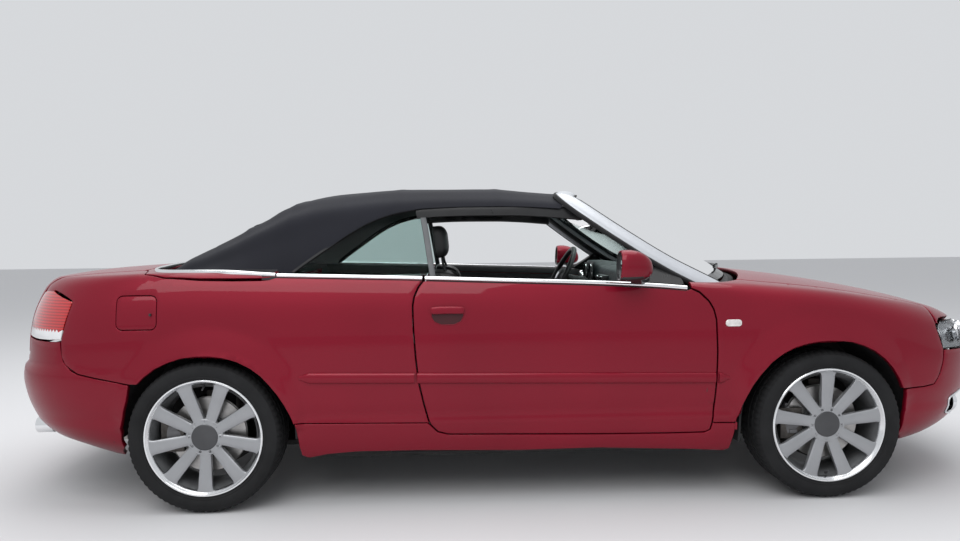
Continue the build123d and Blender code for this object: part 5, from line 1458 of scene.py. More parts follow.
nose = skin("nose")
tail = skin("tail")
lens = shell(nose, lamp_rim, gap=5, depth=6, spacing=20, back=False)
pair(lens, "headlamp_lens", [LENS], TWICE, slot="clear_lens", replaces=("headlamps",))
bowl_ring = turn_left(lamp_rim)
tub = patch(offset2(ends_round(bowl_ring, 8), 7), sunk(nose, 34), 22, mat=0)
edge_in = nose(offset2(ends_round(bowl_ring, 8), 7))
tub_ring = edge_in[0] - edge_in[1] * 9
walls = loft([tub_ring, edge_in[0] - edge_in[1] * 34])
tub.join(walls)
for at_y, at_z, radius in ((702, 686, 40), (592, 686, 46), (482, 688, 36)):
    q = lay("nose", "front", (at_y, at_z))
    p, n = nose(q)
    p, n = p[0], n[0]
    ahead_ = unit(n * 0.5 + np.array([0.9, -0.1, 0.0]))
    e1 = unit(np.cross(ahead_, [0, 0, 1.0]))
    e2 = np.cross(e1, ahead_)
    rings = []
    for r, d in (
        (radius, -14), (radius * 1.05, -10), (radius * 0.98, -9), (radius * 0.93, -14), (radius * 0.7, -30),
        (radius * 0.46, -36), (radius * 0.44, -26), (radius * 0.36, -18), (radius * 0.2, -13), (0.5, -11),
    ):
        q_ = np.linspace(0, 2 * math.pi, 40, endpoint=False)
        rings.append(p + ahead_ * d + r * (np.cos(q_)[:, None] * e1 + np.sin(q_)[:, None] * e2))
    tub.join(loft(rings, mat=1))
pair(
    tub, "headlamp_bowl", [simple("lamp_bowl", (0.30, 0.31, 0.32), 0.25, 0.9, vary=0.06), REFLECTOR], TWICE,
    slot="satin_metal", angle=40,
)

TAIL_LAMP = [(-1998, 934), (-1873, 893), (-1886, 850), (-1909, 780), (-1921, 733)]
tail_rim = track(
    lay("tail", "xz", *TAIL_LAMP[::-1]),
    lay(
        "tail", "rear", (700, 934), (640, 933), (613, 926), (610, 900), (609, 820), (611, 742), (622, 732),
        (700, 728),
    ),
    lay("tail", "xz", (-2052, 727), (-1990, 728)),
)
tail_lens = shell(tail, tail_rim, gap=5, depth=16, spacing=14, lift=1.0)
lens_points = tail_lens.points()
band_z = np.array([lens_points[f, 2].mean() for f in tail_lens.f])
tail_lens.m = [1 if z < 770 else 0 for z in band_z]
pair(tail_lens, "tail_lamp_lens", [RED_LENS, WHITE_LENS], TWICE, slot="red_lens", replaces=("tail_lamps",))
# side markers
marker = shell(
    side, lay("side", "xz", *fillet([(876, 750), (946, 750), (946, 781), (876, 781)], 12)), gap=0, depth=3,
    spacing=8, lift=3.0, roll=3,
)
pair(
    marker, "side_marker",
    [simple("clear_side_marker", (0.72, 0.70, 0.68), 0.12, 0.2, vary=0.15, scale=60, Coat_Weight=1.0)], TWICE,
    slot="clear_lens",
)

# ---------- grille, intakes and plates ----------
GRILLE_BLACK = simple("gloss_black_grille", (0.012, 0.012, 0.013), 0.18, vary=0.1)
PLATE_WHITE = simple("blank_plate", (0.80, 0.80, 0.78), 0.4, vary=0.02)
frame_line = whole(
    track(
        lay(
            "nose", "front", (0, 268), (270, 268), (306, 300), (316, 400), (321, 600), (322, 636), (300, 643),
            (0, 645),
        )
    ), 0
)
ring_q = ends_round(turn_left(frame_line), 10)
ring_p, ring_n = nose(ring_q)
grille = sweep(ring_p + ring_n * 1, rounded(20, 16, 6, 4), ring_n, closed=True, mat=0)
for z in np.linspace(298, 622, 12):
    half = np.linspace(-1, 1, 41) * (300 if z < 330 else 312)
    q = lay("nose", "front", *[(abs(y), z) for y in half])
    q[:, 0] *= np.sign(half + 1e-6)
    p, n = nose(q)
    grille.join(sweep(p - n * 14, rounded(7, 20, 2.5, 2), (0, 0, 1), mat=1))
for y in (-200, -70, 70, 200):
    q = lay("nose", "front", *[(abs(y), z) for z in np.linspace(280, 636, 20)])
    q[:, 0] *= math.copysign(1, y)
    p, n = nose(q)
    grille.join(sweep(p - n * 24, rounded(8, 14, 2, 2), n, mat=1))
back_q = ends_round(turn_left(frame_line), 14)
backing = patch(back_q, sunk(nose, 34), 40, mat=1)
grille.join(backing)
grille.build(
    "grille_assembly", [CHROME, GRILLE_BLACK], "body", slot="gloss_black", replaces=("grille",), angle=40
)
plate_line, _ = nose(
    ends_round(lay("nose", "front", *[(y, 556) for y in np.linspace(0, 260, 30)]), 10, False)
)
line = np.vstack([(plate_line * MIRROR_Y)[::-1], plate_line[1:]])
line[:, 0] = np.maximum(line[:, 0], line[:, 0].max() - 26)
line = line[np.argsort(line[:, 1])]
carrier = sweep(line, rounded(10, 122, 4, 3), (0, 0, 1), mat=0)
carrier.join(sweep(line + (7, 0, 0), rounded(4, 104, 1.5, 3), (0, 0, 1), mat=1))
carrier.build("front_plate_carrier", [TRIM_BLACK, PLATE_WHITE], "body", slot="black_plastic", angle=40)

grids = Soup()
q_in = ends_round(turn_left(intake), 12)
behind = patch(q_in, sunk(nose, 46), 30, mat=0)
grids.join(behind)
inner_q = offset2(q_in, 2)
p_a, n_a = nose(inner_q)
grids.join(loft([p_a - n_a * 12, p_a - n_a * 46], mat=0))
for z in np.linspace(318, 416, 6):
    span = [(y, z) for y in np.linspace(425, 740, 30)]
    q = lay("nose", "front", *span)
    q = q[inside(q, offset2(q_in, 4))]
    if len(q) > 3:
        p, n = nose(q)
        grids.join(sweep(p - n * 22, rounded(5, 14, 2, 2), (0, 0, 1), mat=0))
q = lay("nose", "front", (655, 368))
p, n = nose(q)
grids.join(
    lathe([(0, 0), (30, -2), (38, -8), (40, -20), (46, -18), (46, -30)], p[0] - (22, 0, 0), "x", 40, mat=1)
)
trim_q = offset2(q_in, 5)
p_t, n_t = nose(trim_q)
grids.join(sweep(p_t - n_t * 2, rounded(9, 12, 3, 3), n_t, closed=True, mat=2))
pair(grids, "lower_intake", [GRILLE_BLACK, REFLECTOR, SATIN], TWICE, slot="gloss_black", angle=40)

tray = patch(
    offset2(ends_round(turn_left(plate_hole), 8), -3), sunk(skin("lid"), 22), 26, mat=0
)
tray_edge = skin("lid")(offset2(ends_round(turn_left(plate_hole), 8), -3))
tray.join(loft([tray_edge[0] - tray_edge[1] * 6, tray_edge[0] - tray_edge[1] * 22], mat=0))
plate_in = lid_ring(fillet([(252, 712), (252, 812), (-252, 812), (-252, 712)], 6))
rear_plate, _ = thin(
    lambda q: (lambda pn: (pn[0] - pn[1] * 15, pn[1]))(skin("lid")(q)), plate_in, [], 3.0, 40.0, mat=1
)
tray.join(rear_plate)
grip_line = [(y, 828) for y in np.linspace(-200, 200, 41)]
p, n = skin("lid")(lid_ring(grip_line))
tray.join(sweep(p - n * 10, rounded(26, 18, 6, 3), n, mat=0))
tray.build("boot_plate_recess", [TRIM_BLACK, PLATE_WHITE], "boot_lid", slot="black_plastic", angle=40)

# ---------- trim on the flanks ----------
STRIP_PROFILE = [(-8.5, -3), (-8.5, 2), (-7, 5), (-4, 6.6), (0, 7.2), (4, 6.6), (7, 5), (8.5, 2), (8.5, -3)]


def flank_line(f, x0, x1, count, dz=0.0):
    """Points and normals on the right-hand flank along z = f(x) + dz."""
    q = lay("side", "xz", *along(f, x0, x1, dz, count))
    return side(q)


for name, x0, x1, bodies in (("door", -397, 716, BODY_DOORS), ("quarter", -1017, -409, TWICE)):
    p, n = flank_line(belt, x0, x1, 60, -STRIP / 2 - 1)
    pair(sweep(p, STRIP_PROFILE, n), f"belt_strip_{name}", [CHROME], bodies, slot="satin_metal", angle=50)
seal_q = [
    (-1028, 774), (-1200, 774), (-1400, 774), (-1460, 768), (-1516, 744), (-1560, 700), (-1584, 636),
    (-1592, 560), (-1598, 400), (-1600, 200), (-1600, 0),
]
foot_q = [(-1023, 821), (-1100, 816), (-1200, 804), (-1300, 790), (-1400, 777)] + seal_q[3:]
foot_line = ends_round(foot_q, 10, False)
for _ in range(6):
    foot_line[1:-1] = (foot_line[:-2] + 2 * foot_line[1:-1] + foot_line[2:]) / 4
p, n = skin("top")(lay("top", "xy", *foot_line))
p_all = across(p)
n_all = across(n)
sweep(p_all + n_all * 3, [(-7, -8), (-7, 3), (-5, 7), (0, 9), (5, 7), (7, 3), (7, -8)], n_all).build(
    "belt_strip_roof", [CHROME], "body", slot="satin_metal", angle=50
)
q_seal = ends_round(
    [(x + (14 if k > 6 else 0), y - (16 if k < 9 else 0)) for k, (x, y) in enumerate(seal_q)], 10, False
)
p, n = skin("top")(lay("top", "xy", *q_seal))
p_all = across(p)
sweep(
    p_all + (0, 0, 2), rounded(14, 12, 4, 3), (0, 0, 1)
).build("roof_base_seal", [GAP_BLACK], "body", angle=50)
apron_x = np.linspace(-1034, -1390, 20)
apron_out = np.interp(-apron_x, [1028, 1100, 1200, 1300, 1400], [812, 808, 798, 785, 772])
p, n = skin("top")(lay("top", "xy", *np.column_stack([apron_x, (apron_out + 752) / 2])))
pair(
    sweep(p - n * 0.5, rounded(60, 5, 2, 3), n, scale=(apron_out - 752) / 60), "roof_side_seal", [GAP_BLACK],
    TWICE, angle=50,
)

rub_mid = curve((-927, 564), (893, 532))
RUB = [(-23, -2), (-23, 3), (-20, 8), (-14, 11), (0, 12.5), (14, 11.5), (20, 9), (23, 4), (23, -2)]
for name, x0, x1, bodies, ends in (
    ("quarter", -927, -446, TWICE, (44, 0)), ("door", -434, 832, BODY_DOORS, (0, 0)),
    ("wing", 846, 893, TWICE, (0, 40))
):
    p, n = flank_line(rub_mid, x0, x1, max(12, int((x1 - x0) / 14)))
    run = p[:, 0]
    k = np.ones(len(p))
    if ends[0]:
        k = np.minimum(k, 0.35 + 0.65 * smooth((run - x0) / ends[0]))
    if ends[1]:
        k = np.minimum(k, 0.35 + 0.65 * smooth((x1 - run) / ends[1]))
    pair(sweep(p - n * 1, RUB, n, scale=k), f"rub_strip_{name}", [PAINT], bodies, slot="paint", angle=40)

# door handles: a grip over a flat oval patch that is painted darker red as the shade of a recess
p, n = side(lay("side", "xz", (-374, 836), (-350, 837), (-304, 838), (-258, 837), (-234, 836)))
grip = sweep(
    fine(p + n * 12, 30), rounded(32, 16, 7, 4), unit(fine(n, 30)),
    scale=[1 - 0.35 * abs(t) ** 6 for t in np.linspace(-1, 1, 30)],
)
for foot_x in (-362, -246):
    q = lay("side", "xz", (foot_x, 836), (foot_x + 1, 836))
    p1, _ = side(q)
    grip.join(block(p1[0] + (-9, -10, -9), p1[0] + (9, 6, 9), 4))
pair(grip, "door_handle", [PAINT], BODY_DOORS, slot="paint", angle=45)
CUP = fillet([(-380, 830), (-360, 790), (-330, 777), (-278, 777), (-248, 790), (-228, 830)], 16)
# painted shade: the recess is a flat patch just off the skin, coloured dark red where its shade would fall
recess_shade_patch = patch(lay("side", "xz", *CUP), sunk(side, -0.8), 8)
cup_rim = ends_round(turn_left(lay("side", "xz", *CUP)), 6)
p, n = side(cup_rim)
cup_piece = tube(p + n * 0.5, 1.8, 6, n, closed=True)
pair(cup_piece, "handle_recess_lip", [PAINT], BODY_DOORS, slot="paint")
# painted shade: the handle recess's darkness is painted into this patch's colour
pair(
    recess_shade_patch, "handle_recess", [simple("painted_shade_handle_recess", (0.045, 0.003, 0.006), 0.35, 0.2, vary=0.15)],
    BODY_DOORS, slot="paint",
)

# door mirrors
rows = []
xs = [403, 404, 410, 424, 448, 474, 498, 518, 533, 542, 546]
hz = [56, 60, 63.5, 65, 64.5, 61.5, 55.5, 46.5, 34, 19, 3]
cz = [1018, 1018, 1018, 1018, 1018, 1016, 1013, 1009, 1005, 1001, 999]
hy = [50, 54, 57, 58, 58, 56, 52, 45, 34, 20, 3]
cy = [950, 950, 950, 950, 949, 947, 944, 940, 936, 932, 930]
q_ = np.linspace(0, 2 * math.pi, 48, endpoint=False)
for x, a, c, b, d in zip(xs, hz, cz, hy, cy):
    u = np.sign(np.cos(q_)) * np.abs(np.cos(q_)) ** (2 / 2.7)
    v = np.sign(np.sin(q_)) * np.abs(np.sin(q_)) ** (2 / 2.7)
    rows.append(np.column_stack([np.full(48, float(x)) + 0.06 * a * v, -(d + b * u), c + a * v]))
case = loft(rows, cap=(False, True))
pts_ = case.points()
case.m = [1 if pts_[f, 2].mean() < 972 else 0 for f in case.f]
mid_ = rows[0].mean(0)
ring1 = mid_ + (rows[0] - mid_) * (1, 0.93, 0.93) + (1, 0, 0)
ring2 = ring1 + (9, 0, 0)
case.join(loft([rows[0], ring1, ring2], mat=1))
case.join(loft([ring2, mid_ + (ring2 - mid_) * (1, 0.02, 0.02) + (8, 0, 0)], mat=2, cap=(False, True)))
arm = fine([(478, -938, 966), (486, -900, 953), (500, -862, 948), (520, -826, 950), (540, -800, 958)], 20)
case.join(sweep(arm, rounded(54, 26, 10, 4), (0, 0, 1), scale=np.linspace(0.8, 1.1, 20), mat=1))
MIRROR_GLASS = simple("mirror_glass", (0.80, 0.83, 0.85), 0.03, 1.0, vary=0.02, rough_vary=0.01)
pair(
    case, "door_mirror", [PAINT, TRIM_BLACK, MIRROR_GLASS], BODY_DOORS, slot="mirror_shell",
    replaces=("mirror_SIDE",), angle=45,
)

# ---------- cowl and wipers ----------
rear_line = np.array([(1090 - 200 * (abs(y) / 735) ** 2, y) for y in np.linspace(-735, 735, 41)])
front_line = np.array([(1139 - 170 * (y / 698) ** 2, y) for y in np.linspace(-735, 735, 41)])
rings = []
for k, t in enumerate((0.0, 0.04, 0.1, 0.35, 0.6, 0.85, 1.0)):
    line = rear_line * (1 - t) + front_line * t
    z = z_mid(line[:, 0]) - (z_mid(line[:, 0]) - z_side(line[:, 0])) * (line[:, 1] / 918) ** 2
    drop = (2, -1, 6, 13, 19, 23, 34)[k]
    rings.append(np.column_stack([line, z - drop - 10]))
cowl = loft(rings, closed=False)
cowl.join(shifted(Soup().join(loft([r[::-1] for r in rings], closed=False)), (0, 0, -4)))
for k in range(34):
    y = -600 + 1200 * k / 33
    x = 1112 - 185 * (abs(y) / 735) ** 2
    z = float(z_mid(x)) - (float(z_mid(x)) - float(z_side(x))) * (y / 918) ** 2 - 24
    cowl.join(block((x - 13, y - 9, z - 2), (x + 13, y + 9, z + 3.5), 2.5, 2))
cowl.build("cowl_panel", [GRAINED_BLACK], "body", slot="black_plastic", replaces=("cowl",), angle=40)
wiper = Soup()
WIPERS = (((1046, 330, 950), -0.62, -0.02, 0.034, 0.075), ((1052, -150, 950), 0.06, 0.74, 0.034, 0.060))
for pivot, a0, a1, b0, b1 in WIPERS:
    at = np.linspace(0, 1, 28)
    line = screen_point(a0 + (a1 - a0) * at, b0 + (b1 - b0) * at) + np.array([0.45, 0, 0.9]) * 11
    wiper.join(sweep(line, [(-2, -8), (-5, 2), (-3, 6), (3, 6), (5, 2), (2, -8)], (0.45, 0, 0.9)))
    hold = line[14] + (2, 0, 9)
    arm = fine([pivot, np.array(pivot) * 0.55 + hold * 0.45 + (4, 0, 10), hold], 16)
    wiper.join(sweep(arm, rounded(16, 7, 3, 2), (0.5, 0, 0.85), scale=np.linspace(1.2, 0.7, 16)))
    wiper.join(lathe([(0, 10), (9, 8), (12, 0), (13, -12), (0, -12)], pivot, "z", 24))
wiper.build("wiper_arms", [TRIM_BLACK], "body", slot="black_plastic", replaces=("wipers",), angle=40)


# ---------- doors from the inside, hinges and bulkhead ----------
CARPET_BLACK = simple(
    "black_needle_felt", (0.016, 0.016, 0.017), 0.95, vary=0.3, scale=90, grain=0.5, grain_scale=1300
)
door_q = ends_round(turn_left(door_rim), 12)
p, n = side(offset2(door_q, 9))
ring0 = p - n * 19
ring1 = ring0.copy()
ring1[:, 0] = np.where(ring0[:, 0] > 690, 690 + (ring0[:, 0] - 690) * 0.5, ring0[:, 0])
ring2 = ring1.copy()
ring2[:, 1] = -766
ring2[:, 0] = np.minimum(ring2[:, 0], 758)
body_in = loft([ring0, ring1, (ring1 + ring2 * 3) / 4, ring2])
flat_in = ring2[:, [0, 2]]
flat_in = flat_in[np.concatenate([[True], np.linalg.norm(np.diff(flat_in, axis=0), axis=1) > 3])]
inner_wall = patch(flat_in, lambda q: np.column_stack([q[:, 0], 0 * q[:, 0] - 766, q[:, 1]]), 60)
body_in.join(inner_wall)
pair(body_in, "door_inner_body", [INNER_PAINT], BODY_DOORS, slot="paint", angle=40)
card_rim = offset2(turn_left(flat_in), 16)


def card_surface(q):
    x, z = q[:, 0], q[:, 1]
    y = 763 - 5 * smooth((z - 600) / 60) - 3 * smooth((z - 820) / 30) + 3 * smooth((430 - z) / 50)
    return np.column_stack([x, -y, z]), unit(np.column_stack([0 * x, 1 + 0 * x, 0.02 + 0 * x]))


card, _ = thin(card_surface, card_rim, [], 4.0, 26.0, 12.0)
rest = fine([(-330, -748, 652), (-200, -744, 640), (100, -742, 636), (330, -742, 660), (420, -750, 720)], 30)
card.join(
    sweep(
        rest, rounded(40, 50, 14, 5), (0, 0, 1),
        scale=[0.55 + 0.45 * math.sin(math.pi * t) ** 0.4 for t in np.linspace(0.02, 0.98, 30)],
    )
)
card.join(
    sweep(fine([(-280, -750, 380), (0, -748, 372), (330, -750, 384)], 20), rounded(22, 90, 9, 4), (0, 0, 1))
)
card.join(lathe([(0, 0), (60, 1), (70, 4), (74, 0), (74, -6)], (470, -757, 430), "y", 40, mat=1))
card.join(
    sweep(
        fine([(180, -752, 770), (240, -746, 778), (300, -752, 782)], 14), rounded(20, 12, 5, 3), (0, 0, 1),
        mat=2,
    )
)
pair(card, "door_card", [GRAINED_BLACK, TRIM_BLACK, SATIN], BODY_DOORS, slot="dash_plastic", angle=40)
top_x = np.linspace(-388, 690, 60)
top_y = side(lay("side", "xz", *[(x, float(belt(x)) - 26) for x in top_x]))[0][:, 1]
cap_rings = []
for dy, dz in ((6, -30), (6, -12), (12, -7), (28, -6), (32, -12), (40, -12), (44, -6)):
    cap_rings.append(belt_row(top_x, top_y + dy, dz))
for y_, dz in ((-775, -7), (-764, -10), (-758, -20), (-757, -44)):
    cap_rings.append(belt_row(top_x, 0 * top_x + y_, dz))
pair(
    loft(cap_rings, closed=False), "door_top_trim", [GRAINED_BLACK], BODY_DOORS, slot="dash_plastic", angle=40
)

shelf = block((-1480, -560, 984), (-1040, 560, 1004), 9, 6)
shelf.join(block((-1390, -672, 968), (-1038, 672, 998), 9, 6))
shelf.build("parcel_shelf", [CARPET_BLACK], "body", slot="black_fabric", angle=40)
quarter_x = np.linspace(-1080, -412, 44)
quarter_y = side(lay("side", "xz", *[(x, float(belt(x)) - 26) for x in quarter_x]))[0][:, 1]
rows_ = [belt_row(quarter_x, quarter_y + dy, dz) for dy, dz in ((6, -30), (6, -12), (14, -6))]
rows_ += [
    belt_row(quarter_x, 0 * quarter_x + y_, dz)
    for y_, dz in ((-752, -7), (-722, -9), (-712, -18), (-711, -60))
]
pair(loft(rows_, closed=False), "quarter_belt_trim", [GRAINED_BLACK], TWICE, slot="dash_plastic", angle=40)

wall = block((865, -736, 212), (887, 736, 880), 9, 5)
for y in (-500, -250, 0, 250, 500):
    wall.join(block((858, y - 34, 300), (868, y + 34, 820), 5, 3))
wall.build("firewall_panel", [INNER_PAINT], "body", slot="body_steel", replaces=("firewall",), angle=40)
post = sweep(
    fine([(850, -758, 214), (846, -758, 500), (840, -756, 760), (838, -752, 902)], 14), rounded(56, 44, 8, 3),
    (1, 0, 0),
)
for z in (490, 710):
    goose = fine([(836, -764, z), (806, -772, z), (784, -796, z), (784, -832, z), (795, -856, z)], 18)
    post.join(sweep(goose, rounded(28, 7, 2.5, 2), (1, 0, 0)))
    post.join(lathe([(0, -17), (4.5, -17), (4.5, 17), (0, 17)], (797, -862, z), "z", 20))
pair(post, "door_post", [INNER_PAINT], TWICE, slot="body_steel", angle=40)

# ---------- cabin ----------
LEATHER, tree_, s_ = material("black_seat_leather")
hide = node(tree_, "ShaderNodeTexVoronoi", Scale=520.0, feature="DISTANCE_TO_EDGE")
mapped(tree_, hide)
wear = noise(tree_, 6.0, 3.0)
ramped(tree_, wear, (0.3, (0.014, 0.014, 0.015)), (0.75, (0.030, 0.029, 0.030)), s_.inputs["Base Color"])
ramped(tree_, wear, (0.3, (0.48,) * 3), (0.7, (0.38,) * 3), s_.inputs["Roughness"])
bump(tree_, s_, hide.outputs["Distance"], 0.2, 0.0008)
PIPING = simple("pale_seat_piping", (0.42, 0.43, 0.43), 0.5, vary=0.1)
DASH_TEAL = simple("grained_dash_skin", (0.030, 0.038, 0.041), 0.55, vary=0.15, grain=0.35, grain_scale=650)
CARPET = simple(
    "black_carpet", (0.018, 0.018, 0.019), 0.95, vary=0.35, scale=120, grain=0.6, grain_scale=1500,
    Sheen_Weight=0.3,
)

dash_rings = []
for y in np.concatenate([[-738, -736, -728], np.linspace(-710, 710, 60), [728, 736, 738]]):
    hood = smooth((y - 205) / 50) * smooth((545 - y) / 50)
    end = 1 - 0.10 * smooth((abs(y) - 716) / 22)
    prof = fillet(
        [
            (545, 705), (522 - 4 * hood, 880), (545 - 24 * hood, 962 + 36 * hood), (610, 978 + 22 * hood),
            (720, 984), (862, 934), (862, 705),
        ],
        16,
    )
    prof = ends_round(prof, 12)
    mid = np.array([700, 840])
    prof = mid + (prof - mid) * end
    dash_rings.append(np.column_stack([prof[:, 0], np.full(len(prof), y), prof[:, 1]]))


def resampled(ring, count):
    loop = np.vstack([ring, ring[:1]])
    run = np.concatenate([[0], np.cumsum(np.linalg.norm(np.diff(loop, axis=0), axis=1))])
    at = np.linspace(0, run[-1], count, endpoint=False)
    return np.column_stack([np.interp(at, run, loop[:, k]) for k in range(3)])


dash = loft([resampled(r, 96) for r in dash_rings], cap=(True, True))
r, z = 58, 926
for y in (372 - 84, 372 + 84):
    dash.join(lathe([(0, 0), (r - 6, 0), (r - 4, -6), (r, -7), (r + 2, 0)], (512, y, z), "x", 40, mat=1))
    dash.join(lathe([(r - 4, -5), (r, -8), (r + 1.5, -5)], (512, y, z), "x", 40, mat=2))
dash.join(block((500, -98, 700), (540, 98, 935), 10, 4, mat=1))
for k in range(3):
    dash.join(lathe([(0, -22), (13, -22), (16, -18), (17, 0)], (501, -55 + 55 * k, 740), "x", 28, mat=2))
dash.join(block((494, -80, 785), (504, 80, 840), 4, 3, mat=3))
for y in (-52, 52, -668, 668):
    dash.join(
        lathe(
            [(30, 0), (30, -8), (34, -12), (38, -8), (39, 4)], (508 if abs(y) < 100 else 520, y, 893), "x",
            36, mat=2,
        )
    )
    for dz in np.linspace(-22, 22, 6):
        wide_ = math.sqrt(29**2 - dz**2)
        dash.join(
            block(
                (502 if abs(y) < 100 else 514, y - wide_, 893 + dz - 1.6),
                (516 if abs(y) < 100 else 528, y + wide_, 893 + dz + 1.6), 1.2, 2, mat=1,
            )
        )
seam_line = [(523, -150, 850), (523, -640, 850), (533, -640, 730), (533, -150, 730)]
dash.join(
    tube(
        np.array([(x - 1, y, z) for x, y, z in resampled(np.array(seam_line, float), 80)]), 2.2, 6, (1, 0, 0),
        closed=True, mat=1,
    )
)
cover_y = np.linspace(-700, 700, 41)
cover = [np.column_stack([858 + 0 * cover_y, cover_y, 934 + 0 * cover_y])]
for t, z in ((0.3, 938), (0.7, 940), (1.0, 936)):
    cover.append(
        np.column_stack(
            [
                858 + t * (1064 - 185 * (np.abs(cover_y) / 735) ** 2 - 858), cover_y,
                z - 12 * (cover_y / 735) ** 2,
            ]
        )
    )
dash.join(loft(cover, closed=False, mat=1))
dash.build(
    "dashboard_skin", [DASH_TEAL, TRIM_BLACK, CHROME, GAP_BLACK], "body", slot="dash_plastic",
    replaces=("dashboard",), angle=45,
)

rings = []
for x, half, top in (
    (-470, 60, 470), (-466, 78, 505), (-440, 90, 545), (-150, 92, 558), (-120, 94, 545), (-60, 95, 470),
    (180, 95, 465), (330, 96, 480), (440, 97, 560), (520, 97, 660), (560, 97, 700), (600, 92, 702),
):
    sec = ends_round(fillet([(-half, 205), (half, 205), (half, top), (-half, top)], 20), 10)
    rings.append(resampled(np.column_stack([np.full(len(sec), x), sec]), 72))
console = loft(rings, cap=(True, True))
console.join(
    sweep(
        fine([(-450, 0, 566), (-300, 0, 572), (-140, 0, 568)], 20), rounded(150, 26, 12, 4), (0, 0, 1),
        scale=[0.8 + 0.2 * math.sin(math.pi * t) ** 0.3 for t in np.linspace(0.02, 0.98, 20)], mat=1,
    )
)
gaiter = [(46, 0), (44, 8), (36, 30), (24, 52), (14, 74), (11, 96)]
console.join(lathe(gaiter, (250, 0, 466), "z", 32, mat=1))
console.join(
    lathe([(11, 92), (22, 104), (27, 122), (24, 142), (12, 152), (0, 154)], (250, 0, 466), "z", 32, mat=2)
)
console.join(tube(fine([(120, 58, 470), (60, 58, 500), (-40, 58, 530), (-60, 58, 536)], 16), 11, 14, mat=2))
for x in (340, 60):
    console.join(lathe([(38, 0), (41, 3), (44, 0)], (x, -20, 486 if x > 300 else 468), "z", 36, mat=3))
console.build(
    "centre_console_body", [GRAINED_BLACK, LEATHER, TRIM_BLACK, CHROME], "body", slot="dash_plastic",
    replaces=("centre_console",), angle=45,
)

WHEEL_AT = np.array([340.0, 370.0, 908.0])
TILT = math.radians(28)
q_ = np.linspace(0, 2 * math.pi, 72, endpoint=False)
wheel_ring = WHEEL_AT + np.column_stack([0 * q_, 180 * np.cos(q_), 180 * np.sin(q_)])
steer = tube(wheel_ring, 14.5, 14, (1, 0, 0), closed=True)
steer.join(
    lathe([(0, -16), (40, -14), (60, -6), (68, 8), (66, 26), (40, 34), (0, 36)], WHEEL_AT, "x", 48, mat=1)
)
for angle in (8, 172, 242, 298):
    c, s__ = math.cos(math.radians(angle)), math.sin(math.radians(angle))
    spoke_path = [
        WHEEL_AT + (2 + 6 * t, (52 + 122 * t) * c, (52 + 122 * t) * s__) for t in np.linspace(0, 1, 10)
    ]
    steer.join(sweep(spoke_path, rounded(30, 16, 6, 3), (1, 0, 0), scale=np.linspace(1.15, 0.75, 10), mat=1))
steer.join(lathe([(0, -19), (16, -18.5), (25, -16), (27, -12)], WHEEL_AT, "x", 40, mat=2))
turned(steer, TILT, WHEEL_AT).build(
    "steering_wheel_rim", [LEATHER, GRAINED_BLACK, SATIN], "steering_wheel", slot="black_plastic",
    replaces=("steering_wheel",), angle=45
)
shroud = loft([resampled(np.column_stack([np.full(len(sec_), x), sec_ + (370, z)]), 48) for x, z, sec_ in (
    (386, 884, ends_round(rounded(90, 84, 22, 5), 8)), (430, 868, ends_round(rounded(108, 96, 24, 5), 8)),
    (520, 850, ends_round(rounded(112, 100, 24, 5), 8)))], cap=(True, True))
for sign in (-1, 1):
    shroud.join(
        tube(
            fine(
                [(420, 370 + 40 * sign, 884), (410, 370 + 95 * sign, 892), (400, 370 + 150 * sign, 896)], 12
            ),
            7.5, 12, mat=0,
        )
    )
shroud.build("column_shroud", [GRAINED_BLACK], "body", slot="black_plastic", angle=45)


# ---------- seats ----------
SEAT_Y = 370  # from the middle of the car to the middle of a front seat


def pad_form(length, half, thick, bolster=0.0, round_end=60.0, waist=0.0, count=(34, 56)):
    """A crowned closed pad: x along, y across, z up from a flat base at nought."""
    rings = []
    ease = (1 - np.cos(np.linspace(0, math.pi, count[0]))) / 2
    for t in ease:
        x = length * t
        end = min(x, length - x) / round_end
        k = math.sqrt(max(1 - max(1 - end, 0) ** 2, 0.0004)) if end < 1 else 1.0
        wide = (half - waist * math.sin(math.pi * t)) * (0.80 + 0.20 * k)
        tall = thick * (0.42 + 0.58 * k)
        ring = []
        for a in np.linspace(0, 2 * math.pi, count[1], endpoint=False):
            c, s__ = math.cos(a), math.sin(a)
            y = wide * math.copysign(abs(c) ** 0.55, c)
            crown = tall * (abs(s__) ** 0.55)
            z = crown if s__ >= 0 else -crown * 0.14
            if s__ >= 0:
                z += bolster * math.exp(-(((abs(y) - half * 0.82) / (half * 0.16)) ** 2)) * k
            ring.append((x, y, z))
        rings.append(ring)
    return loft(rings, cap=(True, True))


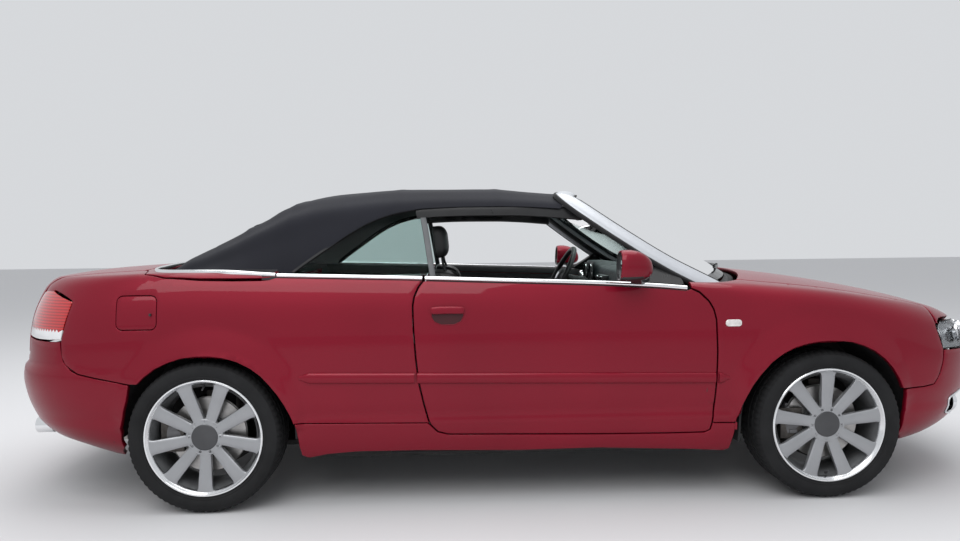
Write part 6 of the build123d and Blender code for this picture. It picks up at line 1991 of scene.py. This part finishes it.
def stuffed(soup, most, voxel=0.0075):
    """Swells a pad by cloth simulation and caps how far each point may move; its base stays flat."""
    mesh = bpy.data.meshes.new("pad_work")
    mesh.from_pydata((soup.points() / 1000).tolist(), [], [list(f) for f in soup.f])
    work = bpy.data.objects.new("pad_work", mesh)
    scene_ = bpy.context.scene
    scene_.collection.objects.link(work)
    remesh = work.modifiers.new("remesh", "REMESH")
    remesh.mode, remesh.voxel_size = "VOXEL", voxel
    graph = bpy.context.evaluated_depsgraph_get()
    made = bpy.data.meshes.new_from_object(work.evaluated_get(graph))
    work.modifiers.clear()
    work.data = made
    start = np.array([v.co for v in made.vertices])
    held = work.vertex_groups.new(name="held")
    held.add([int(i) for i in np.nonzero(start[:, 2] < 0.004)[0]], 1.0, "REPLACE")
    cloth = work.modifiers.new("cloth", "CLOTH")
    cloth.settings.use_pressure = True
    cloth.settings.uniform_pressure_force = 4.0
    cloth.settings.vertex_group_mass = "held"
    cloth.settings.effector_weights.gravity = 0.0
    cloth.point_cache.frame_start, cloth.point_cache.frame_end = 1, 20
    for frame_number in range(1, 21):
        scene_.frame_set(frame_number)
    graph = bpy.context.evaluated_depsgraph_get()
    done = np.array([v.co for v in work.evaluated_get(graph).to_mesh().vertices])
    move = done - start
    far = np.linalg.norm(move, axis=1, keepdims=True)
    cap_ = most / 1000
    done = start + move * (cap_ * np.tanh(far / cap_) / np.maximum(far, 1e-9))
    faces = [list(f.vertices) for f in made.polygons]
    bpy.data.objects.remove(work)
    scene_.frame_set(1)
    out = Soup()
    out.add(done * 1000, faces, 0)
    return out


def pressed(soup, lines, deep=5.0, wide=7.0):
    """Presses sewn channels into the crown: each line is ('x' or 'y', where, from, to)."""
    p = soup.points()
    for axis, at, lo, hi in lines:
        a, b = (0, 1) if axis == "x" else (1, 0)
        k = np.exp(
            -(((p[:, a] - at) / wide) ** 2)
        ) * smooth((p[:, b] - lo) / 15) * smooth((hi - p[:, b]) / 15)
        p[:, 2] -= deep * k * (p[:, 2] > 20)
    soup.p = [p]
    return soup


def set_down(soup, origin, along_, up_):
    """Moves a pad from its own axes to the car: along, across (+y) and up."""
    along_, up_ = unit(np.array(along_, float)), unit(np.array(up_, float))
    p = soup.points()
    return soup.moved(
        np.array(origin, float) + p[:, :1] * along_ + p[:, 1:2] * np.array([0, 1.0, 0]) + p[:, 2:] * up_
    )


def piping(soup, x0, x1, count=40):
    """Edge piping along both sides, found on the pad's own surface."""
    p = soup.points()
    line = []
    for x in np.linspace(x0, x1, count):
        near = p[(np.abs(p[:, 0] - x) < 26) & (p[:, 2] > 18)]
        line.append(near[np.argmax(near[:, 1] + near[:, 2] * 0.35)] + (0, 0.5, 0.5))
    line = np.array(line)
    for _ in range(3):
        line[1:-1] = (line[:-2] + 2 * line[1:-1] + line[2:]) / 4
    out = tube(line, 2.6, 8, mat=0)
    out.join(tube(line * MIRROR_Y, 2.6, 8, mat=0))
    return out


base_pad = pressed(
    stuffed(pad_form(505, 228, 105, 26, 60), 12),
    [("y", -120, 40, 460), ("y", 120, 40, 460), ("x", 170, -120, 120), ("x", 330, -120, 120)],
)
back_pad = pressed(
    stuffed(pad_form(560, 222, 96, 30, 70, 12), 12),
    [("y", -112, 50, 500), ("y", 112, 50, 500), ("x", 180, -112, 112), ("x", 380, -112, 112)],
)
for name, pad_, origin, along_, up_, span in (
    ("seat_base", base_pad, (-212, SEAT_Y, 408), (1, 0, 0.05), (-0.05, 0, 1), (60, 470)),
    ("seat_back", back_pad, (-232, SEAT_Y, 440), (-0.235, 0, 0.97), (0.97, 0, 0.235), (120, 540)),
):
    for sign, side_name in ((-1, "right"), (1, "left")):
        place_at = (origin[0], origin[1] * sign, origin[2])
        made = set_down(pad_, place_at, along_, up_).build(
            f"{name}_{side_name}", [LEATHER], "body", slot="seat_leather", angle=60
        )
        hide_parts("front_seats")
        set_down(piping(pad_, *span), place_at, along_, up_).build(
            f"{name}_piping_{side_name}", [PIPING], "body", slot="seat_leather", angle=60
        )
shell_ = pad_form(600, 232, 46, 0, 60)
head = pad_form(150, 128, 62, 0, 46, 0, (24, 48))
for sign, side_name in ((-1, "right"), (1, "left")):
    set_down(shell_, (-196, SEAT_Y * sign, 400), (-0.235, 0, 0.97), (-0.97, 0, -0.235)).build(
        f"seat_shell_{side_name}", [GRAINED_BLACK], "body", slot="black_plastic", angle=50
    )
    rest_ = set_down(head, (-352, SEAT_Y * sign, 1046), (-0.10, 0, 1), (1, 0, 0.1)).build(
        f"head_rest_{side_name}", [LEATHER], "body", slot="seat_leather", angle=60
    )
    middle = SEAT_Y * sign
    posts = Soup()
    for y in (middle - 45, middle + 45):
        posts.join(tube(fine([(-300, y, 960), (-322, y, 1010), (-330, y, 1070)], 8), 5.5, 10))
    for y in (middle - 200, middle + 200):
        posts.join(block((-210, y - 15, 230), (270, y + 15, 300), 8, 3))
    posts.join(block((-190, middle - 205, 285), (250, middle + 205, 412), 14, 4))
    posts.build(f"seat_frame_{side_name}", [GRAINED_BLACK], "body", slot="satin_metal", angle=50)
rear_base = pressed(
    stuffed(pad_form(400, 440, 130, 0, 60, 0, (30, 72)), 10, 0.01),
    [("y", 0, 30, 370), ("y", -210, 40, 360), ("y", 210, 40, 360)],
)
rear_back = pressed(
    stuffed(pad_form(470, 440, 110, 0, 60, 0, (30, 72)), 10, 0.01),
    [("y", 0, 30, 440), ("y", -210, 40, 420), ("y", 210, 40, 420)],
)
for name, pad_, origin, along_, up_ in (
    ("rear_seat_base", rear_base, (-975, 0, 372), (1, 0, 0.06), (-0.06, 0, 1)),
    ("rear_seat_back", rear_back, (-985, 0, 450), (-0.2, 0, 0.98), (0.98, 0, 0.2)),
):
    made = set_down(pad_, origin, along_, up_).build(name, [LEATHER], "body", slot="seat_leather", angle=60)
    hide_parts("rear_seat")
panels = block((-925, -752, 300), (-470, -716, 946), 14, 5)
panels.join(block((-1088, -752, 690), (-915, -716, 946), 14, 5))
panels.join(block((-900, -722, 600), (-500, -690, 650), 14, 4, mat=1))
panels.join(lathe([(0, 0), (66, 2), (74, 4), (78, 0), (78, -8)], (-720, -713, 470), "y", 40, mat=1))
pair(
    panels, "rear_side_trim", [GRAINED_BLACK, TRIM_BLACK], TWICE, slot="dash_plastic", angle=45,
    replaces=("rear_side_panels",),
)
mirror_in = block((392, -116, 1226), (418, 116, 1280), 11, 5)
mirror_in.join(block((388, -108, 1233), (395, 108, 1273), 2.5, 3, mat=1))
mirror_in.join(tube(fine([(414, 0, 1268), (428, 0, 1290), (436, 0, 1304)], 8), 7, 12))
mirror_in.build(
    "rear_view_mirror", [TRIM_BLACK, MIRROR_GLASS], "body", slot="mirror_shell",
    replaces=("interior_mirror",), angle=45,
)
carpet = Soup()
for x0, x1, y0, y1 in ((-560, 860, 104, 735), (-560, 860, -735, -104)):
    carpet.join(block((x0, y0, 199), (x1, y1, 211), 5, 6))
carpet.build("floor_carpet", [CARPET], "body", slot="black_fabric", angle=45)


# ---------- finishes of the frame's own parts ----------
UNDERBODY = simple(
    "sealed_underbody", (0.022, 0.021, 0.021), 0.8, vary=0.35, scale=14, grain=0.45, grain_scale=500
)
CAST_IRON = simple(
    "weathered_iron", (0.10, 0.092, 0.085), 0.62, 0.8, vary=0.4, scale=30, grain=0.35, grain_scale=400
)
CAST_ALLOY = simple(
    "cast_aluminium", (0.34, 0.345, 0.35), 0.48, 0.85, vary=0.15, scale=18, grain=0.25, grain_scale=600
)
PIPE_STEEL = simple("exhaust_tube_steel", (0.30, 0.285, 0.27), 0.34, 0.9, vary=0.3, scale=10, grain=0.05)
LINER = simple(
    "moulded_arch_liner", (0.013, 0.013, 0.014), 0.85, vary=0.3, scale=20, grain=0.5, grain_scale=350
)
KEPT = {
    "fuel_filler": GRAINED_BLACK, "floor_pan": UNDERBODY, "rear_bulkhead": UNDERBODY, "boot_floor": UNDERBODY,
    "front_arch_liners": LINER, "rear_arch_liners": LINER, "front_frame": UNDERBODY,
    "engine_block": CAST_ALLOY,
    "steering_column": CAST_IRON, "rear_hub_carriers": CAST_IRON, "front_suspension": CAST_IRON,
    "rear_suspension": CAST_IRON, "knuckle_right": CAST_IRON, "knuckle_left": CAST_IRON,
    "exhaust": PIPE_STEEL,
}
for name, mat in KEPT.items():
    held = bpy.data.objects[name].data
    held.materials.clear()
    held.materials.append(mat)
tips = lathe([(24, 30), (30, -6), (34, -8), (36, -4), (36, 66), (30, 70)], (0, 0, 0), "x", 40)
pair(shifted(tips, (-2152, -550, 320)), "exhaust_tip", [CHROME], TWICE, slot="exhaust_steel", angle=40)


# ---------- stage ----------
# the camera as fitted to the photo: mm of lens over a 36 mm sensor, place in metres, and angles in degrees
CAMERA_LENS, CAMERA_SENSOR = 29.25, 36.0
CAMERA_AT = (-0.256, -4.1254, 1.1425)
CAMERA_YAW, CAMERA_PITCH, CAMERA_TILT = -2.189, -2.451, -0.687


def stage_and_camera():
    bpy.ops.mesh.primitive_plane_add(size=60)
    floor = bpy.context.object
    floor.name = "floor"
    mat, _, s = material("pale_floor")
    s.inputs["Base Color"].default_value = (0.62, 0.62, 0.63, 1)
    s.inputs["Roughness"].default_value = 0.75
    floor.data.materials.append(mat)
    world = bpy.data.worlds.new("studio")
    bpy.context.scene.world = world
    world.use_nodes = True
    world.node_tree.nodes["Background"].inputs["Color"].default_value = (0.9, 0.92, 0.95, 1)
    world.node_tree.nodes["Background"].inputs["Strength"].default_value = 0.75
    for name, at, size, power in (
        ("key", (-2.0, -6.0, 6.5), 6.0, 330.0),
        ("overhead", (0.0, 1.0, 6.0), 7.0, 300.0),
    ):
        lamp = bpy.data.lights.new(name, "AREA")
        lamp.shape = "SQUARE"
        lamp.size = size
        lamp.energy = power
        obj = bpy.data.objects.new(name, lamp)
        obj.location = at
        obj.rotation_euler = (Vector((0, 0, 0.6)) - Vector(at)).to_track_quat("-Z", "Y").to_euler()
        bpy.context.scene.collection.objects.link(obj)
    cam = bpy.data.cameras.new("camera")
    cam.sensor_width = CAMERA_SENSOR
    cam.lens = CAMERA_LENS
    obj = bpy.data.objects.new("camera", cam)
    bpy.context.scene.collection.objects.link(obj)
    yaw, pitch, tilt = (math.radians(a) for a in (CAMERA_YAW, CAMERA_PITCH, CAMERA_TILT))
    x_row = Vector((math.cos(yaw), math.sin(yaw), 0))
    y_row = Vector((-math.sin(yaw), math.cos(yaw), 0))
    z = Vector((0, 0, 1))
    ahead = math.cos(pitch) * y_row + math.sin(pitch) * z
    up0 = -math.sin(pitch) * y_row + math.cos(pitch) * z
    right = math.cos(tilt) * x_row + math.sin(tilt) * up0
    up = -math.sin(tilt) * x_row + math.cos(tilt) * up0
    turn = Matrix((right, up, -ahead)).transposed().to_4x4()
    obj.matrix_world = Matrix.Translation(CAMERA_AT) @ turn
    bpy.context.scene.camera = obj
    bpy.context.scene.view_settings.view_transform = "Standard"


stage_and_camera()
